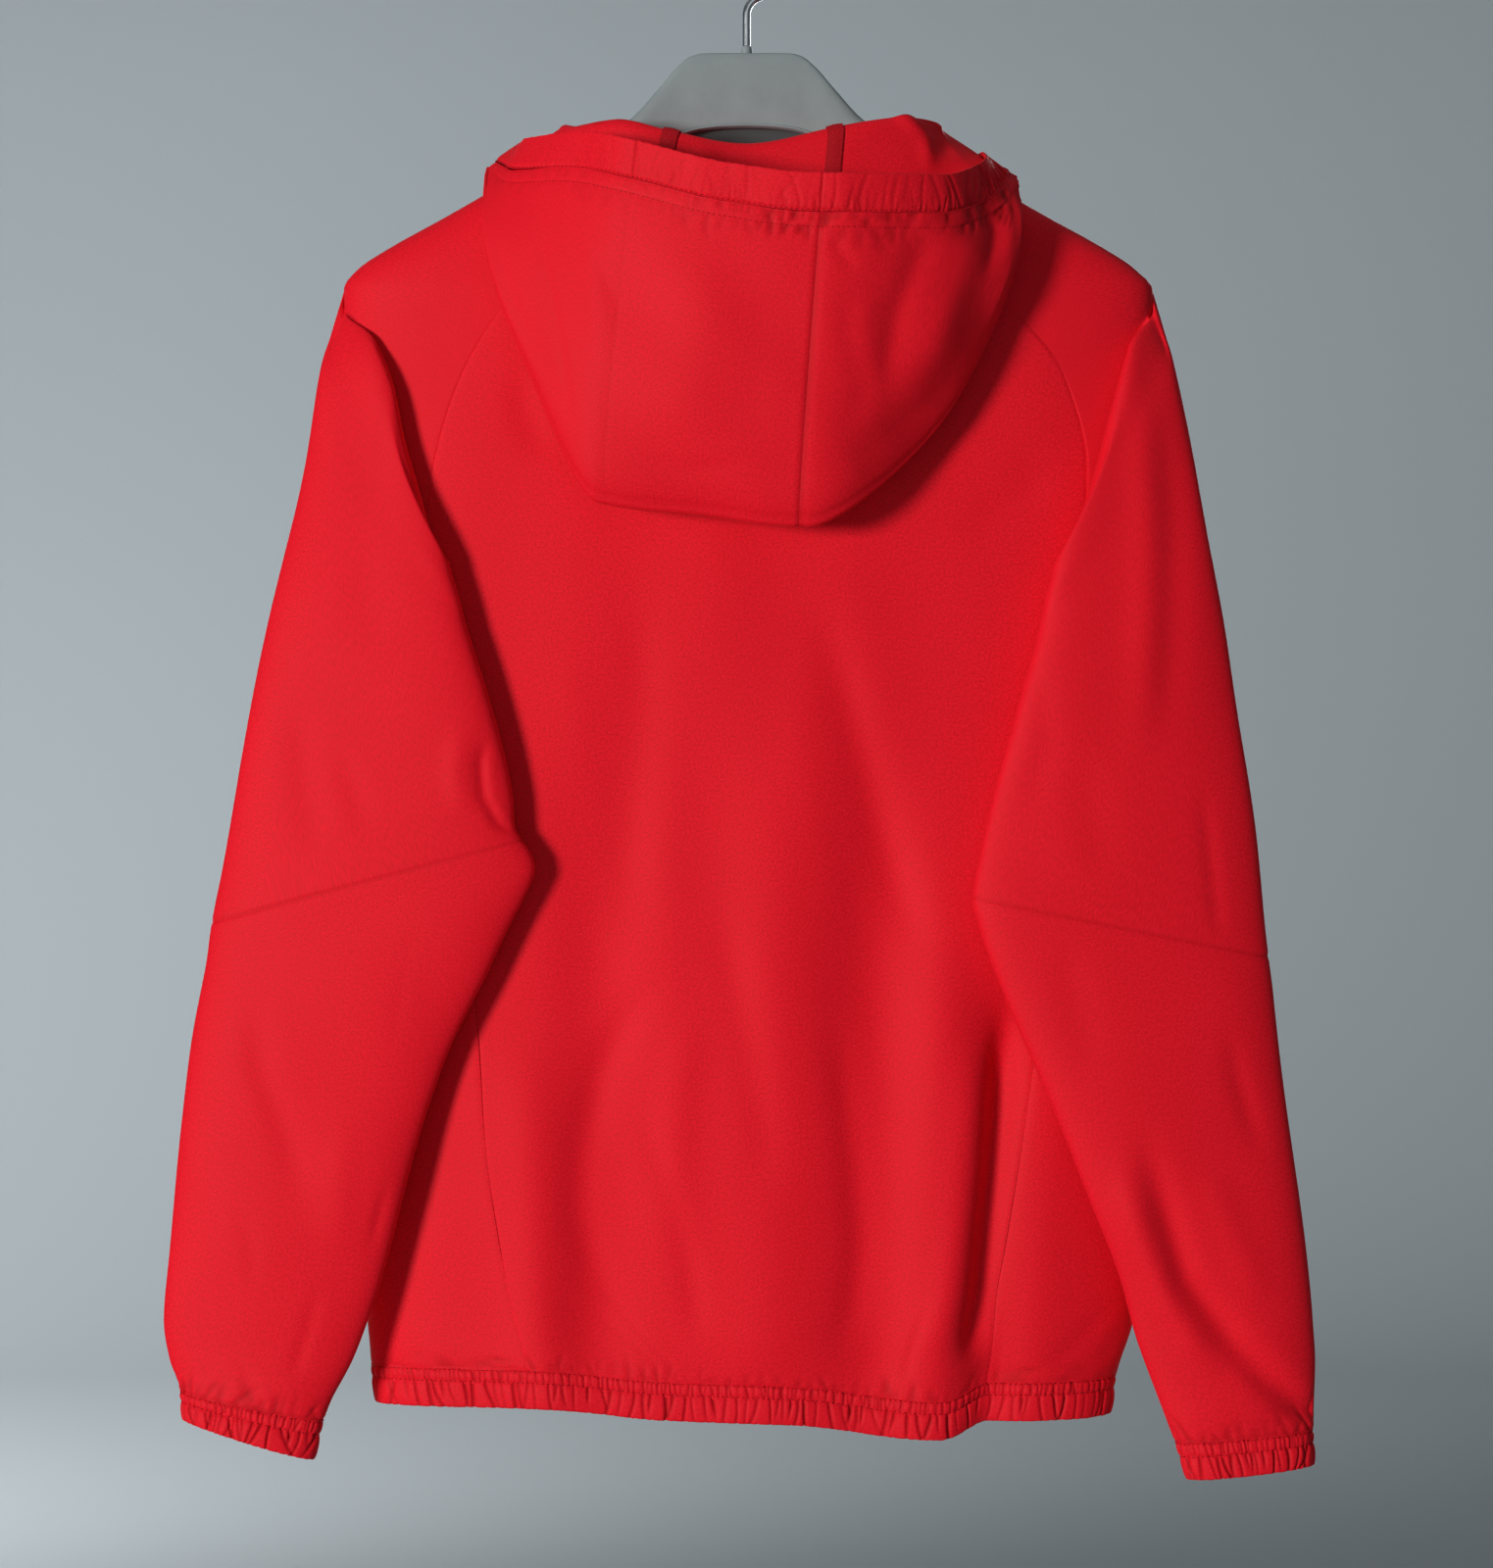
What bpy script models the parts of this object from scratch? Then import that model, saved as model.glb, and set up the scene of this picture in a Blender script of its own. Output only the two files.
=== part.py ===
"""Hooded windbreaker hanging on a wide-shoulder hanger, seen from its back.

Metres, +Z up. The wearer's back faces -Y and the wearer's right is at +X. The origin is the inner top of the
hook's crook, where a rail bears. Sides are -1 (wearer's left, at -X) and +1 (wearer's right).

All cloth lies on a few surfaces worked out from tables: the body's oval levels, the tube of each sleeve, and
the hood's path from the neck seam over its roll and its bottom fold to its rim. Each cut piece is a stretch
of one of these surfaces, a seam gap apart from the next, thickened to a wall.
"""
from collections import namedtuple
from math import acos, cos, pi, radians, sin, sqrt

import bmesh
import bpy
import numpy as np

NAME = "hooded_windbreaker"

# Walls and gaps
CLOTH = 0.0012
CASING = 0.0026
SEAM_GAP = 0.0003
SEAM_EDGE = 0.75 * SEAM_GAP
SIDES = (-1, 1)
BACK, FRONT = 1, -1

# ---------------------------------------------------------------- body tables

# Levels of the body: the oval's half width, its middle in x, and how far back and front bulge
Level = namedtuple("Level", "height half_width middle back front")
LEVELS = (
    Level(-0.840, 0.2040, -0.002, 0.0400, 0.0390),
    Level(-0.804, 0.2085, -0.001, 0.0410, 0.0400),
    Level(-0.771, 0.2150, 0.002, 0.0420, 0.0405),
    Level(-0.600, 0.2210, 0.003, 0.0400, 0.0400),
    Level(-0.350, 0.2240, 0.003, 0.0350, 0.0365),
    Level(-0.230, 0.2265, 0.001, 0.0330, 0.0340),
    Level(-0.197, 0.2265, 0.001, 0.0325, 0.0335),
    Level(-0.186, 0.2180, 0.000, 0.0320, 0.0330),
    Level(-0.174, 0.2000, 0.000, 0.0320, 0.0330),
    Level(-0.158, 0.1710, 0.000, 0.0320, 0.0330),
    Level(-0.136, 0.1320, 0.000, 0.0320, 0.0330),
    Level(-0.118, 0.0970, 0.000, 0.0320, 0.0330),
    Level(-0.105, 0.0720, 0.000, 0.0320, 0.0330),
)
OVAL = 2.5

# Height of the seam that joins the hem band, across the back from the left side to the right
HemPoint = namedtuple("HemPoint", "x height")
HEM_BACK = (
    HemPoint(-0.205, -0.797),
    HemPoint(-0.119, -0.797),
    HemPoint(-0.050, -0.803),
    HemPoint(0.030, -0.806),
    HemPoint(0.085, -0.813),
    HemPoint(0.109, -0.814),
    HemPoint(0.135, -0.805),
    HemPoint(0.200, -0.801),
)
HEM_FRONT = -0.802
HEM_BAND_HEIGHT = 0.0215
HEM_DRAWN_IN = 0.985
FRONT_INSET = 0.0009
BACK_COLUMNS = 14

# Side seams, set onto the back: distance from the middle plane at a height
SeamPoint = namedtuple("SeamPoint", "height left right")
SIDE_SEAMS = (
    SeamPoint(-0.815, 0.118, 0.132),
    SeamPoint(-0.784, 0.123, 0.136),
    SeamPoint(-0.760, 0.130, 0.138),
    SeamPoint(-0.725, 0.137, 0.144),
    SeamPoint(-0.677, 0.144, 0.152),
    SeamPoint(-0.619, 0.148, 0.160),
    SeamPoint(-0.480, 0.165, 0.174),
    SeamPoint(-0.354, 0.182, 0.188),
)

# Raglan seams of the back, from the underarm up; they end on the neckline
RaglanPoint = namedtuple("RaglanPoint", "along x height")
RAGLAN_BACK = {
    -1: (
        RaglanPoint(0.00, 0.182, -0.354),
        RaglanPoint(0.20, 0.174, -0.300),
        RaglanPoint(0.38, 0.162, -0.257),
        RaglanPoint(0.58, 0.141, -0.218),
        RaglanPoint(0.80, 0.099, -0.176),
    ),
    1: (
        RaglanPoint(0.00, 0.188, -0.354),
        RaglanPoint(0.20, 0.189, -0.297),
        RaglanPoint(0.38, 0.177, -0.249),
        RaglanPoint(0.58, 0.144, -0.209),
        RaglanPoint(0.80, 0.100, -0.173),
    ),
}

# Raglan seams of the front, from the underarm round the side; they end on the neckline. "across" runs round the oval:
# 0 at its side, 1 at the middle of the back, -1 at the middle of the front.
RingPoint = namedtuple("RingPoint", "along across height")
RAGLAN_FRONT = (
    RingPoint(0.00, 0.22, -0.3540),
    RingPoint(0.11, 0.13, -0.3545),
    RingPoint(0.22, 0.04, -0.3530),
    RingPoint(0.33, -0.05, -0.3460),
    RingPoint(0.44, -0.14, -0.3340),
    RingPoint(0.56, -0.22, -0.3080),
    RingPoint(0.67, -0.29, -0.2720),
    RingPoint(0.78, -0.35, -0.2360),
    RingPoint(0.89, -0.41, -0.1950),
)

# Columns of a front, from its side seam (0) to the zip (1): their place round the oval at the hem
FootPoint = namedtuple("FootPoint", "over across")
FRONT_FOOT = (
    FootPoint(0.00, 0.430),
    FootPoint(0.07, 0.220),
    FootPoint(0.14, 0.060),
    FootPoint(0.21, -0.040),
    FootPoint(0.29, -0.130),
    FootPoint(0.36, -0.220),
    FootPoint(0.64, -0.530),
    FootPoint(1.00, -0.970),
)
SIDE_OVER = FRONT_FOOT[3].over

# Neckline of a half, from the middle of the back (0) over the shoulder to the middle of the front (1)
NeckPoint = namedtuple("NeckPoint", "along face out height")
NECKLINE = (
    NeckPoint(0.00, BACK, 0.0000, -0.1500),
    NeckPoint(0.14, BACK, 0.0330, -0.1485),
    NeckPoint(0.26, BACK, 0.0600, -0.1430),
    NeckPoint(0.31, BACK, 0.0780, -0.1320),
    NeckPoint(0.36, BACK, 0.0900, -0.1215),
    NeckPoint(0.41, BACK, 0.1000, -0.1175),
    NeckPoint(0.46, FRONT, 0.0920, -0.1230),
    NeckPoint(0.51, FRONT, 0.0860, -0.1370),
    NeckPoint(0.56, FRONT, 0.0780, -0.1510),
    NeckPoint(0.70, FRONT, 0.0560, -0.1760),
    NeckPoint(0.86, FRONT, 0.0290, -0.1970),
    NeckPoint(1.00, FRONT, 0.0075, -0.2050),
)
NECK_BACK, NECK_FRONT = 0.26, 0.56

# Largest soft folds of the body: a line from top to foot, how wide, how far out (in when negative)
Fold = namedtuple("Fold", "face x_top z_top x_foot z_foot width out")
FOLDS = (
    Fold(BACK, 0.147, -0.560, 0.134, -0.815, 0.016, -0.0080),
    Fold(BACK, 0.076, -0.420, 0.070, -0.815, 0.024, -0.0050),
    Fold(BACK, 0.020, -0.400, 0.012, -0.800, 0.030, 0.0045),
    Fold(BACK, -0.076, -0.380, -0.082, -0.790, 0.024, -0.0050),
    Fold(BACK, 0.112, -0.500, 0.100, -0.830, 0.022, 0.0050),
    Fold(BACK, -0.125, -0.600, -0.110, -0.815, 0.020, 0.0045),
    Fold(FRONT, 0.085, -0.330, 0.092, -0.800, 0.028, -0.0060),
    Fold(FRONT, 0.145, -0.420, 0.140, -0.810, 0.026, 0.0060),
    Fold(FRONT, -0.075, -0.360, -0.080, -0.810, 0.026, -0.0055),
    Fold(FRONT, -0.140, -0.300, -0.150, -0.800, 0.030, 0.0050),
)

# ------------------------------------------------------------- sleeve tables

# Line where the sleeve folds over the back, from the shoulder tip to the underarm
ARMHOLE_FOLD = {
    -1: (
        RaglanPoint(0.00, 0.2265, -0.1970),
        RaglanPoint(0.13, 0.2175, -0.2120),
        RaglanPoint(0.26, 0.2060, -0.2290),
        RaglanPoint(0.42, 0.1955, -0.2540),
        RaglanPoint(0.58, 0.1895, -0.2820),
        RaglanPoint(0.78, 0.1805, -0.3130),
        RaglanPoint(1.00, 0.1713, -0.3470),
    ),
    1: (
        RaglanPoint(0.00, 0.2275, -0.1970),
        RaglanPoint(0.24, 0.2135, -0.2290),
        RaglanPoint(0.49, 0.2015, -0.2680),
        RaglanPoint(0.77, 0.1900, -0.3100),
        RaglanPoint(1.00, 0.1780, -0.3430),
    ),
}
# The same armhole on the hidden side, from the shoulder tip down and round the side to the underarm
ARMHOLE_FRONT = (
    RingPoint(0.00, 0.000, -0.1970),
    RingPoint(0.16, -0.055, -0.2180),
    RingPoint(0.36, -0.095, -0.2500),
    RingPoint(0.56, -0.110, -0.2820),
    RingPoint(0.67, -0.095, -0.3030),
    RingPoint(0.75, -0.055, -0.3200),
    RingPoint(0.83, 0.010, -0.3330),
    RingPoint(0.92, 0.095, -0.3410),
    RingPoint(1.00, 0.180, -0.3440),
)
TUCK_TIP, TUCK_UNDERARM = 0.006, 0.019
SHORTEST_YOKE = 0.004
# How the sleeve turns out of its armhole: the rise of the fold, and how far two rows lie towards the first ring
LIP_RISE, TURN_RISE = 0.009, 0.0117
BACK_TURN, FRONT_LIP, FRONT_TURN = 0.22, 0.35, 0.62
# How far behind the back the layer next to it lies
REST_GAP = 0.0035

# Rings of the hanging sleeve: its outer and inner edges (distance out, y, height) and its half depth
Ring = namedtuple("Ring", "at outer_x outer_y outer_z inner_x inner_y inner_z half_depth")
RINGS = {
    -1: (
        Ring(1, 0.236, -0.014, -0.239, 0.167, -0.042, -0.353, 0.0115),
        Ring(2, 0.244, -0.022, -0.289, 0.153, -0.045, -0.393, 0.0125),
        Ring(3, 0.256, -0.028, -0.349, 0.139, -0.047, -0.439, 0.0135),
        Ring(4, 0.271, -0.031, -0.420, 0.129, -0.048, -0.479, 0.0140),
        Ring(5, 0.283, -0.033, -0.485, 0.127, -0.049, -0.498, 0.0145),
        Ring(6, 0.295, -0.034, -0.550, 0.123, -0.050, -0.505, 0.0150),
        Ring(7, 0.300, -0.034, -0.582, 0.116, -0.050, -0.521, 0.0150),
        Ring(8, 0.307, -0.034, -0.626, 0.139, -0.049, -0.570, 0.0145),
        Ring(9, 0.314, -0.034, -0.680, 0.167, -0.047, -0.630, 0.0140),
        Ring(10, 0.319, -0.034, -0.729, 0.189, -0.045, -0.698, 0.0130),
        Ring(11, 0.322, -0.034, -0.769, 0.204, -0.042, -0.755, 0.0120),
        Ring(12, 0.319, -0.034, -0.791, 0.216, -0.040, -0.790, 0.0120),
        Ring(13, 0.313, -0.034, -0.809, 0.233, -0.040, -0.824, 0.0125),
        Ring(14, 0.311, -0.034, -0.825, 0.239, -0.040, -0.846, 0.0140),
    ),
    1: (
        Ring(1, 0.238, -0.014, -0.239, 0.173, -0.042, -0.353, 0.0115),
        Ring(2, 0.247, -0.022, -0.289, 0.160, -0.045, -0.396, 0.0125),
        Ring(3, 0.258, -0.028, -0.349, 0.146, -0.047, -0.444, 0.0135),
        Ring(4, 0.270, -0.031, -0.420, 0.134, -0.048, -0.487, 0.0140),
        Ring(5, 0.279, -0.033, -0.485, 0.127, -0.049, -0.517, 0.0145),
        Ring(6, 0.288, -0.034, -0.569, 0.124, -0.050, -0.536, 0.0150),
        Ring(7, 0.291, -0.034, -0.590, 0.130, -0.050, -0.559, 0.0150),
        Ring(8, 0.296, -0.034, -0.631, 0.145, -0.049, -0.598, 0.0145),
        Ring(9, 0.302, -0.034, -0.680, 0.166, -0.047, -0.645, 0.0140),
        Ring(10, 0.308, -0.034, -0.731, 0.189, -0.045, -0.703, 0.0130),
        Ring(11, 0.312, -0.034, -0.769, 0.206, -0.042, -0.746, 0.0120),
        Ring(12, 0.314, -0.034, -0.796, 0.215, -0.040, -0.779, 0.0120),
        Ring(13, 0.313, -0.034, -0.830, 0.236, -0.040, -0.836, 0.0125),
        Ring(14, 0.312, -0.034, -0.850, 0.243, -0.040, -0.857, 0.0140),
    ),
}
FLAT_TUBE = 2.2
ELBOW_RING = 6
CUFF_RING = 13
LAST_RING = 14
RING_TRIM, ELBOW_TRIM = 0.014, 0.020
# Where the rows of the upper sleeve lie on its way from the raglan seam (0) to the elbow (1)
ARMHOLE_AT, LIP_AT, TURNED_AT = 0.25, 0.29, 0.32
RING_ROWS_AT = (0.38, 0.47, 0.60, 0.76, 0.89, 1.00)
# Stretches round the sleeve: back raglan seam, neckline, front raglan seam
BACK_STEPS, NECK_STEPS, FRONT_STEPS = 8, 6, 9
ROUND_STEPS = BACK_STEPS + NECK_STEPS + FRONT_STEPS
BACK_END = BACK_STEPS / ROUND_STEPS
RIDGE = (BACK_STEPS + NECK_STEPS / 2) / ROUND_STEPS
NECK_END = (BACK_STEPS + NECK_STEPS) / ROUND_STEPS
# Columns of a front: those that end on the raglan seam and those that end on the neckline
HOOD_FRONT_COLUMNS = 5
FRONT_COLUMNS = FRONT_STEPS + HOOD_FRONT_COLUMNS
RAGLAN_OVER = FRONT_STEPS / FRONT_COLUMNS
HEM_COLUMNS = 2 * FRONT_COLUMNS + BACK_COLUMNS

# --------------------------------------------------------------- hood tables

# Sections of the hood from the zip on the left (-1) round the back (0) to the zip on the right (1): the roll
# above the neck seam, the bottom fold of the hanging bag, the rim of the opening, and how wide the folds are
Section = namedtuple("Section", "at roll_x roll_y roll_z fold_x fold_y fold_z rim_x rim_y rim_z roll fold lift")
HOOD = (
    Section(-1.00, -.0075, .0365, -.190, -.0075, .0389, -.178, -.0075, .0425, -.160, .000, .000, .0007),
    Section(-0.80, -.0450, .0430, -.169, -.0680, .0500, -.176, -.0620, .0560, -.146, .005, .005, .0009),
    Section(-0.62, -.0740, .0420, -.142, -.1070, .0430, -.158, -.0970, .0470, -.130, .006, .006, .0012),
    Section(-0.51, -.0920, .0340, -.118, -.1280, .0280, -.139, -.1170, .0300, -.120, .007, .007, .0014),
    Section(-0.46, -.0995, .0220, -.107, -.1380, .0140, -.1320, -.1225, .0170, -.115, .007, .007, .0016),
    Section(-0.42, -.1010, .0040, -.104, -.1435, -.0140, -.1330, -.1245, -.0060, -.1145, .007, .007, .0018),
    Section(-0.38, -.0939, -.0120, -.107, -.1425, -.0450, -.170, -.1234, -.0240, -.116, .007, .008, .0014),
    Section(-0.30, -.0735, -.0320, -.107, -.1161, -.0560, -.254, -.0918, -.0620, -.118, .008, .010, .0009),
    Section(-0.20, -.0451, -.0390, -.114, -.0798, -.0640, -.321, -.0627, -.0870, -.126, .008, .010, .0007),
    Section(0.00, 0.0000, -.0410, -.122, -.0227, -.0660, -.328, -.0087, -.1010, -.141, .008, .010, .0007),
    Section(0.20, 0.0532, -.0400, -.112, 0.0344, -.0680, -.334, 0.0464, -.1050, -.147, .008, .010, .0007),
    Section(0.30, 0.0886, -.0320, -.106, 0.1062, -.0600, -.276, 0.1050, -.0850, -.145, .008, .010, .0009),
    Section(0.38, 0.1060, -.0120, -.105, 0.1500, -.0450, -.170, 0.1321, -.0340, -.127, .007, .008, .0014),
    Section(0.42, 0.1060, .0040, -.104, 0.1490, -.0140, -.1355, 0.1310, -.0060, -.1205, .007, .007, .0018),
    Section(0.46, 0.1025, .0220, -.107, 0.1430, .0140, -.1335, 0.1280, .0170, -.1190, .007, .007, .0016),
    Section(0.51, 0.0930, .0340, -.118, 0.1310, .0280, -.1410, 0.1200, .0300, -.1215, .007, .007, .0014),
    Section(0.62, 0.0740, .0420, -.142, 0.1080, .0430, -.158, 0.0980, .0470, -.130, .006, .006, .0012),
    Section(0.80, 0.0450, .0430, -.169, 0.0680, .0500, -.176, 0.0620, .0560, -.146, .005, .005, .0009),
    Section(1.00, 0.0075, .0365, -.190, 0.0075, .0389, -.178, 0.0075, .0425, -.160, .000, .000, .0007),
)
# Sections at which the hood's faceted pieces have a column, matched to the columns of the neckline below them
HOOD_SEAM = NECK_BACK * 5 / 7
HOOD_NECK_COLUMNS = 6
HOOD_CENTER_COLUMNS = 5
HOOD_HEM_WIDTH = 0.0215
ROLL_FROM, ROLL_TO, FOLD_FROM, FOLD_TO = 0.07, 0.11, 0.50, 0.55
SEAM_TRIM = 0.0012
BELLY = 0.010

# ---------------------------------------------------- zip, hanger and hook

ZIP_EDGE = NECKLINE[-1].out
TAPE_INNER, TAPE_OUTER = 0.0008, 0.0125
TAPE = 0.0010
TAPE_BEHIND = 0.0015
TAPE_BEHIND_CASING = 0.0024
ZIP_TOP = -0.1625
SLIDER_HEIGHT = -0.1760
SLIDER_WIDTH, SLIDER_LENGTH, SLIDER_PLATE = 0.0080, 0.0110, 0.0013
SLIDER_GAP = 0.00045
POST_WIDTH, POST_LENGTH = 0.0009, 0.0040
BAIL_WIDTH, BAIL_LENGTH, BAIL_WIRE, BAIL_REACH = 0.0018, 0.0068, 0.0011, 0.0036
PULL_WIDTH, PULL_LENGTH, PULL_PLATE = 0.0060, 0.0220, 0.0011
PULL_BAR, PULL_WINDOW_WIDTH, PULL_WINDOW = 0.0012, 0.0030, 0.0056
PULL_TIP_WIDTH = 0.0080

HANGER_OVAL = 2.3
# Hanger, from its middle to its tip: top and bottom edges and half thickness
Bar = namedtuple("Bar", "out top bottom half_thickness")
HANGER = (
    Bar(0.0000, -0.0642, -0.1060, 0.0062),
    Bar(0.0120, -0.0642, -0.1063, 0.0062),
    Bar(0.0240, -0.0643, -0.1075, 0.0062),
    Bar(0.0310, -0.0660, -0.1090, 0.0062),
    Bar(0.0381, -0.0715, -0.1115, 0.0063),
    Bar(0.0500, -0.0850, -0.1190, 0.0066),
    Bar(0.0644, -0.1005, -0.1290, 0.0072),
    Bar(0.0800, -0.1110, -0.1395, 0.0080),
    Bar(0.0970, -0.1205, -0.1500, 0.0090),
    Bar(0.1320, -0.1388, -0.1690, 0.0110),
    Bar(0.1700, -0.1605, -0.1900, 0.0130),
    Bar(0.1950, -0.1750, -0.2020, 0.0120),
    Bar(0.2070, -0.1840, -0.2055, 0.0075),
    Bar(0.2125, -0.1890, -0.2045, 0.0042),
    Bar(0.2145, -0.1935, -0.2010, 0.0020),
)
BOSS_RADIUS, BOSS_HEIGHT, BOSS_ROOT = 0.0033, 0.0040, 0.0040
WIRE = 0.00225
STEM_TOP = -0.0425
BEND_RADIUS = 0.0106
CROOK_RADIUS = 0.0181
CROOK_END = radians(205)

# Colours (linear), roughness, metallic
RED = (0.66, 0.016, 0.024)
TAPE_RED = (0.45, 0.010, 0.016)
HANGER_GREY = (0.24, 0.26, 0.26)
STEEL = (0.78, 0.80, 0.82)


# ------------------------------------------------------------------- helpers

def steady_slopes(values, keys):
    """Slopes through rows that never overshoot them: weighted harmonic means, flat where a column turns."""
    step = np.diff(keys)[:, None]
    rise = np.diff(values, axis=0) / step
    before, after = rise[:-1], rise[1:]
    weight_a, weight_b = 2 * step[1:] + step[:-1], step[1:] + 2 * step[:-1]
    same_way = before * after > 0
    safe_before, safe_after = np.where(same_way, before, 1), np.where(same_way, after, 1)
    inner = np.where(same_way, (weight_a + weight_b) / (weight_a / safe_before + weight_b / safe_after), 0)
    return np.concatenate([rise[:1], inner, rise[-1:]])


def curve(rows, at):
    """Smooth values at the keys `at` (the rows' first column), one column for each other column."""
    table = np.asarray(rows, float)
    keys, values = table[:, 0], table[:, 1:]
    slopes = steady_slopes(values, keys)
    at = np.clip(np.asarray(at, float), keys[0], keys[-1])
    i = np.clip(np.searchsorted(keys, at) - 1, 0, len(keys) - 2)
    step = (keys[i + 1] - keys[i])[..., None]
    t = (at - keys[i])[..., None] / step
    first = values[i] * (2 * t**3 - 3 * t**2 + 1) + slopes[i] * step * (t**3 - 2 * t**2 + t)
    second = values[i + 1] * (3 * t**2 - 2 * t**3) + slopes[i + 1] * step * (t**3 - t**2)
    return first + second


def through(knots, points, at):
    """Smooth curve through a list of point arrays, one for each knot, read at the values `at`."""
    knots = np.asarray(knots, float)
    points = np.stack(points)
    slopes = np.gradient(points, knots, axis=0)
    i = np.clip(np.searchsorted(knots, at) - 1, 0, len(knots) - 2)
    n = np.arange(len(at))
    step = (knots[i + 1] - knots[i])[:, None]
    t = (at - knots[i])[:, None] / step
    first = points[i, n] * (2 * t**3 - 3 * t**2 + 1) + slopes[i, n] * step * (t**3 - 2 * t**2 + t)
    second = points[i + 1, n] * (3 * t**2 - 2 * t**3) + slopes[i + 1, n] * step * (t**3 - t**2)
    return first + second


def ease(value):
    """0 below 0, 1 above 1, smooth between."""
    value = np.clip(value, 0, 1)
    return value * value * (3 - 2 * value)


def mix(first, second, share):
    return first + (second - first) * share


def unit(vectors, soft=1e-9):
    return vectors / (np.linalg.norm(vectors, axis=-1, keepdims=True) + soft)


def stack(x, y, z):
    return np.stack(np.broadcast_arrays(x, y, z), axis=-1).astype(float)


# ---------------------------------------------------------------------- body

def oval_lengths():
    """How far round a quarter of the oval each angle lies, as a share of its length."""
    turn = np.linspace(0, pi / 2, 600)
    x = 0.222 * np.cos(turn) ** (2 / OVAL)
    y = 0.037 * np.sin(turn) ** (2 / OVAL)
    run = np.concatenate([[0], np.cumsum(np.hypot(np.diff(x), np.diff(y)))])
    return turn, run / run[-1]


TURN, SHARE = oval_lengths()


def body_folds(face, x, height):
    """How far the soft folds of one face push the cloth out."""
    out = np.zeros_like(x)
    for fold in FOLDS:
        along = (height - fold.z_top) / (fold.z_foot - fold.z_top)
        line = mix(fold.x_top, fold.x_foot, along)
        window = ease(along / 0.35) * ease((1.06 - along) / 0.12)
        bump = fold.out * np.exp(-((x - line) / fold.width) ** 2) * window
        out += np.where(face == fold.face, bump, 0)
    return out


def body(side, across, height):
    """Point of the body's cloth: across 0 at the side, 1 at mid back, -1 at mid front."""
    across, height = np.broadcast_arrays(np.asarray(across, float), np.asarray(height, float))
    half_width, middle, back, front = np.moveaxis(curve(LEVELS, height), -1, 0)
    turn = np.interp(np.abs(across), SHARE, TURN)
    x = middle + side * half_width * np.clip(np.cos(turn), 0, 1) ** (2 / OVAL)
    face = np.where(across > 0, BACK, FRONT)
    depth = np.where(across > 0, back, front) * np.sin(turn) ** (2 / OVAL)
    depth = depth + body_folds(face, x, height) * ease(np.abs(across) / 0.25)
    return stack(x, -face * depth, height)


def across_at(side, out, height):
    """The share round the back of the oval at which the body is `out` from the middle plane."""
    half_width, middle, _, _ = np.moveaxis(curve(LEVELS, height), -1, 0)
    ratio = np.clip((out - side * middle) / half_width, 0, 1)
    return np.interp(np.arccos(ratio ** (OVAL / 2)), TURN, SHARE)


def back_point(x, height):
    """Point of the body's back at a place seen from behind."""
    half_width, middle, back, _ = np.moveaxis(curve(LEVELS, height), -1, 0)
    ratio = np.clip(np.abs(x - middle) / half_width, 0, 1)
    depth = back * (1 - ratio**OVAL) ** (1 / OVAL)
    side_share = ease((1 - ratio) / 0.10)
    depth = depth + body_folds(np.full_like(x, BACK), x, height) * side_share
    return stack(x, -depth, height)


def neckline(along):
    """Neckline of a half as places on the oval: how far round it, and height."""
    rows = [(point.along, point.face * across_at(1, point.out, point.height), point.height) for point in NECKLINE]
    return curve(rows, along)


NECK_AT_BACK_RAGLAN, NECK_AT_FRONT_RAGLAN = neckline(np.array([NECK_BACK, NECK_FRONT]))


def hem_height(x):
    return curve(HEM_BACK, x)[..., 0]


def side_seam(side, height):
    column = 0 if side < 0 else 1
    return curve(SIDE_SEAMS, height)[..., column]


SEAM_ROWS = 12
BACK_ARM = SEAM_ROWS / (SEAM_ROWS + BACK_STEPS)
UNDERARM = RAGLAN_FRONT[0].height


def seam_place(side, share):
    """Side seam from the hem (0) to the underarm (1): distance out and height."""
    foot = hem_height(side * side_seam(side, HEM_BACK[3].height))
    height = mix(foot, UNDERARM, share)
    return side_seam(side, height), height


def raglan_back(side, share):
    """Raglan seam of the back, from the underarm (0) to the neckline (1): distance out and height."""
    across, height = NECK_AT_BACK_RAGLAN
    end = RaglanPoint(1.0, abs(body(side, across, height)[0]), height)
    return curve((*RAGLAN_BACK[side], end), share)


def raglan_front(side, share):
    """Raglan seam of the front, from the underarm (0) to the neckline (1): place on the oval and height."""
    start = RingPoint(0.0, across_at(side, side_seam(side, UNDERARM), UNDERARM), UNDERARM)
    end = RingPoint(1.0, *NECK_AT_FRONT_RAGLAN)
    return curve((start, *RAGLAN_FRONT[1:], end), share)


def back_edge(side, up):
    """Edge of the back panel: the side seam up to the underarm, then the raglan seam."""
    out_low, height_low = seam_place(side, np.clip(up / BACK_ARM, 0, 1))
    raglan = raglan_back(side, np.clip((up - BACK_ARM) / (1 - BACK_ARM), 0, 1))
    low = up <= BACK_ARM
    return np.where(low, out_low, raglan[:, 0]), np.where(low, height_low, raglan[:, 1])


def neck_place(at):
    """Point of the neckline at a hood section from -1 to 1."""
    across, height = np.moveaxis(neckline(np.abs(at)), -1, 0)
    left, right = body(-1, across, height), body(1, across, height)
    return np.where((at < 0)[:, None], left, right)


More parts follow.
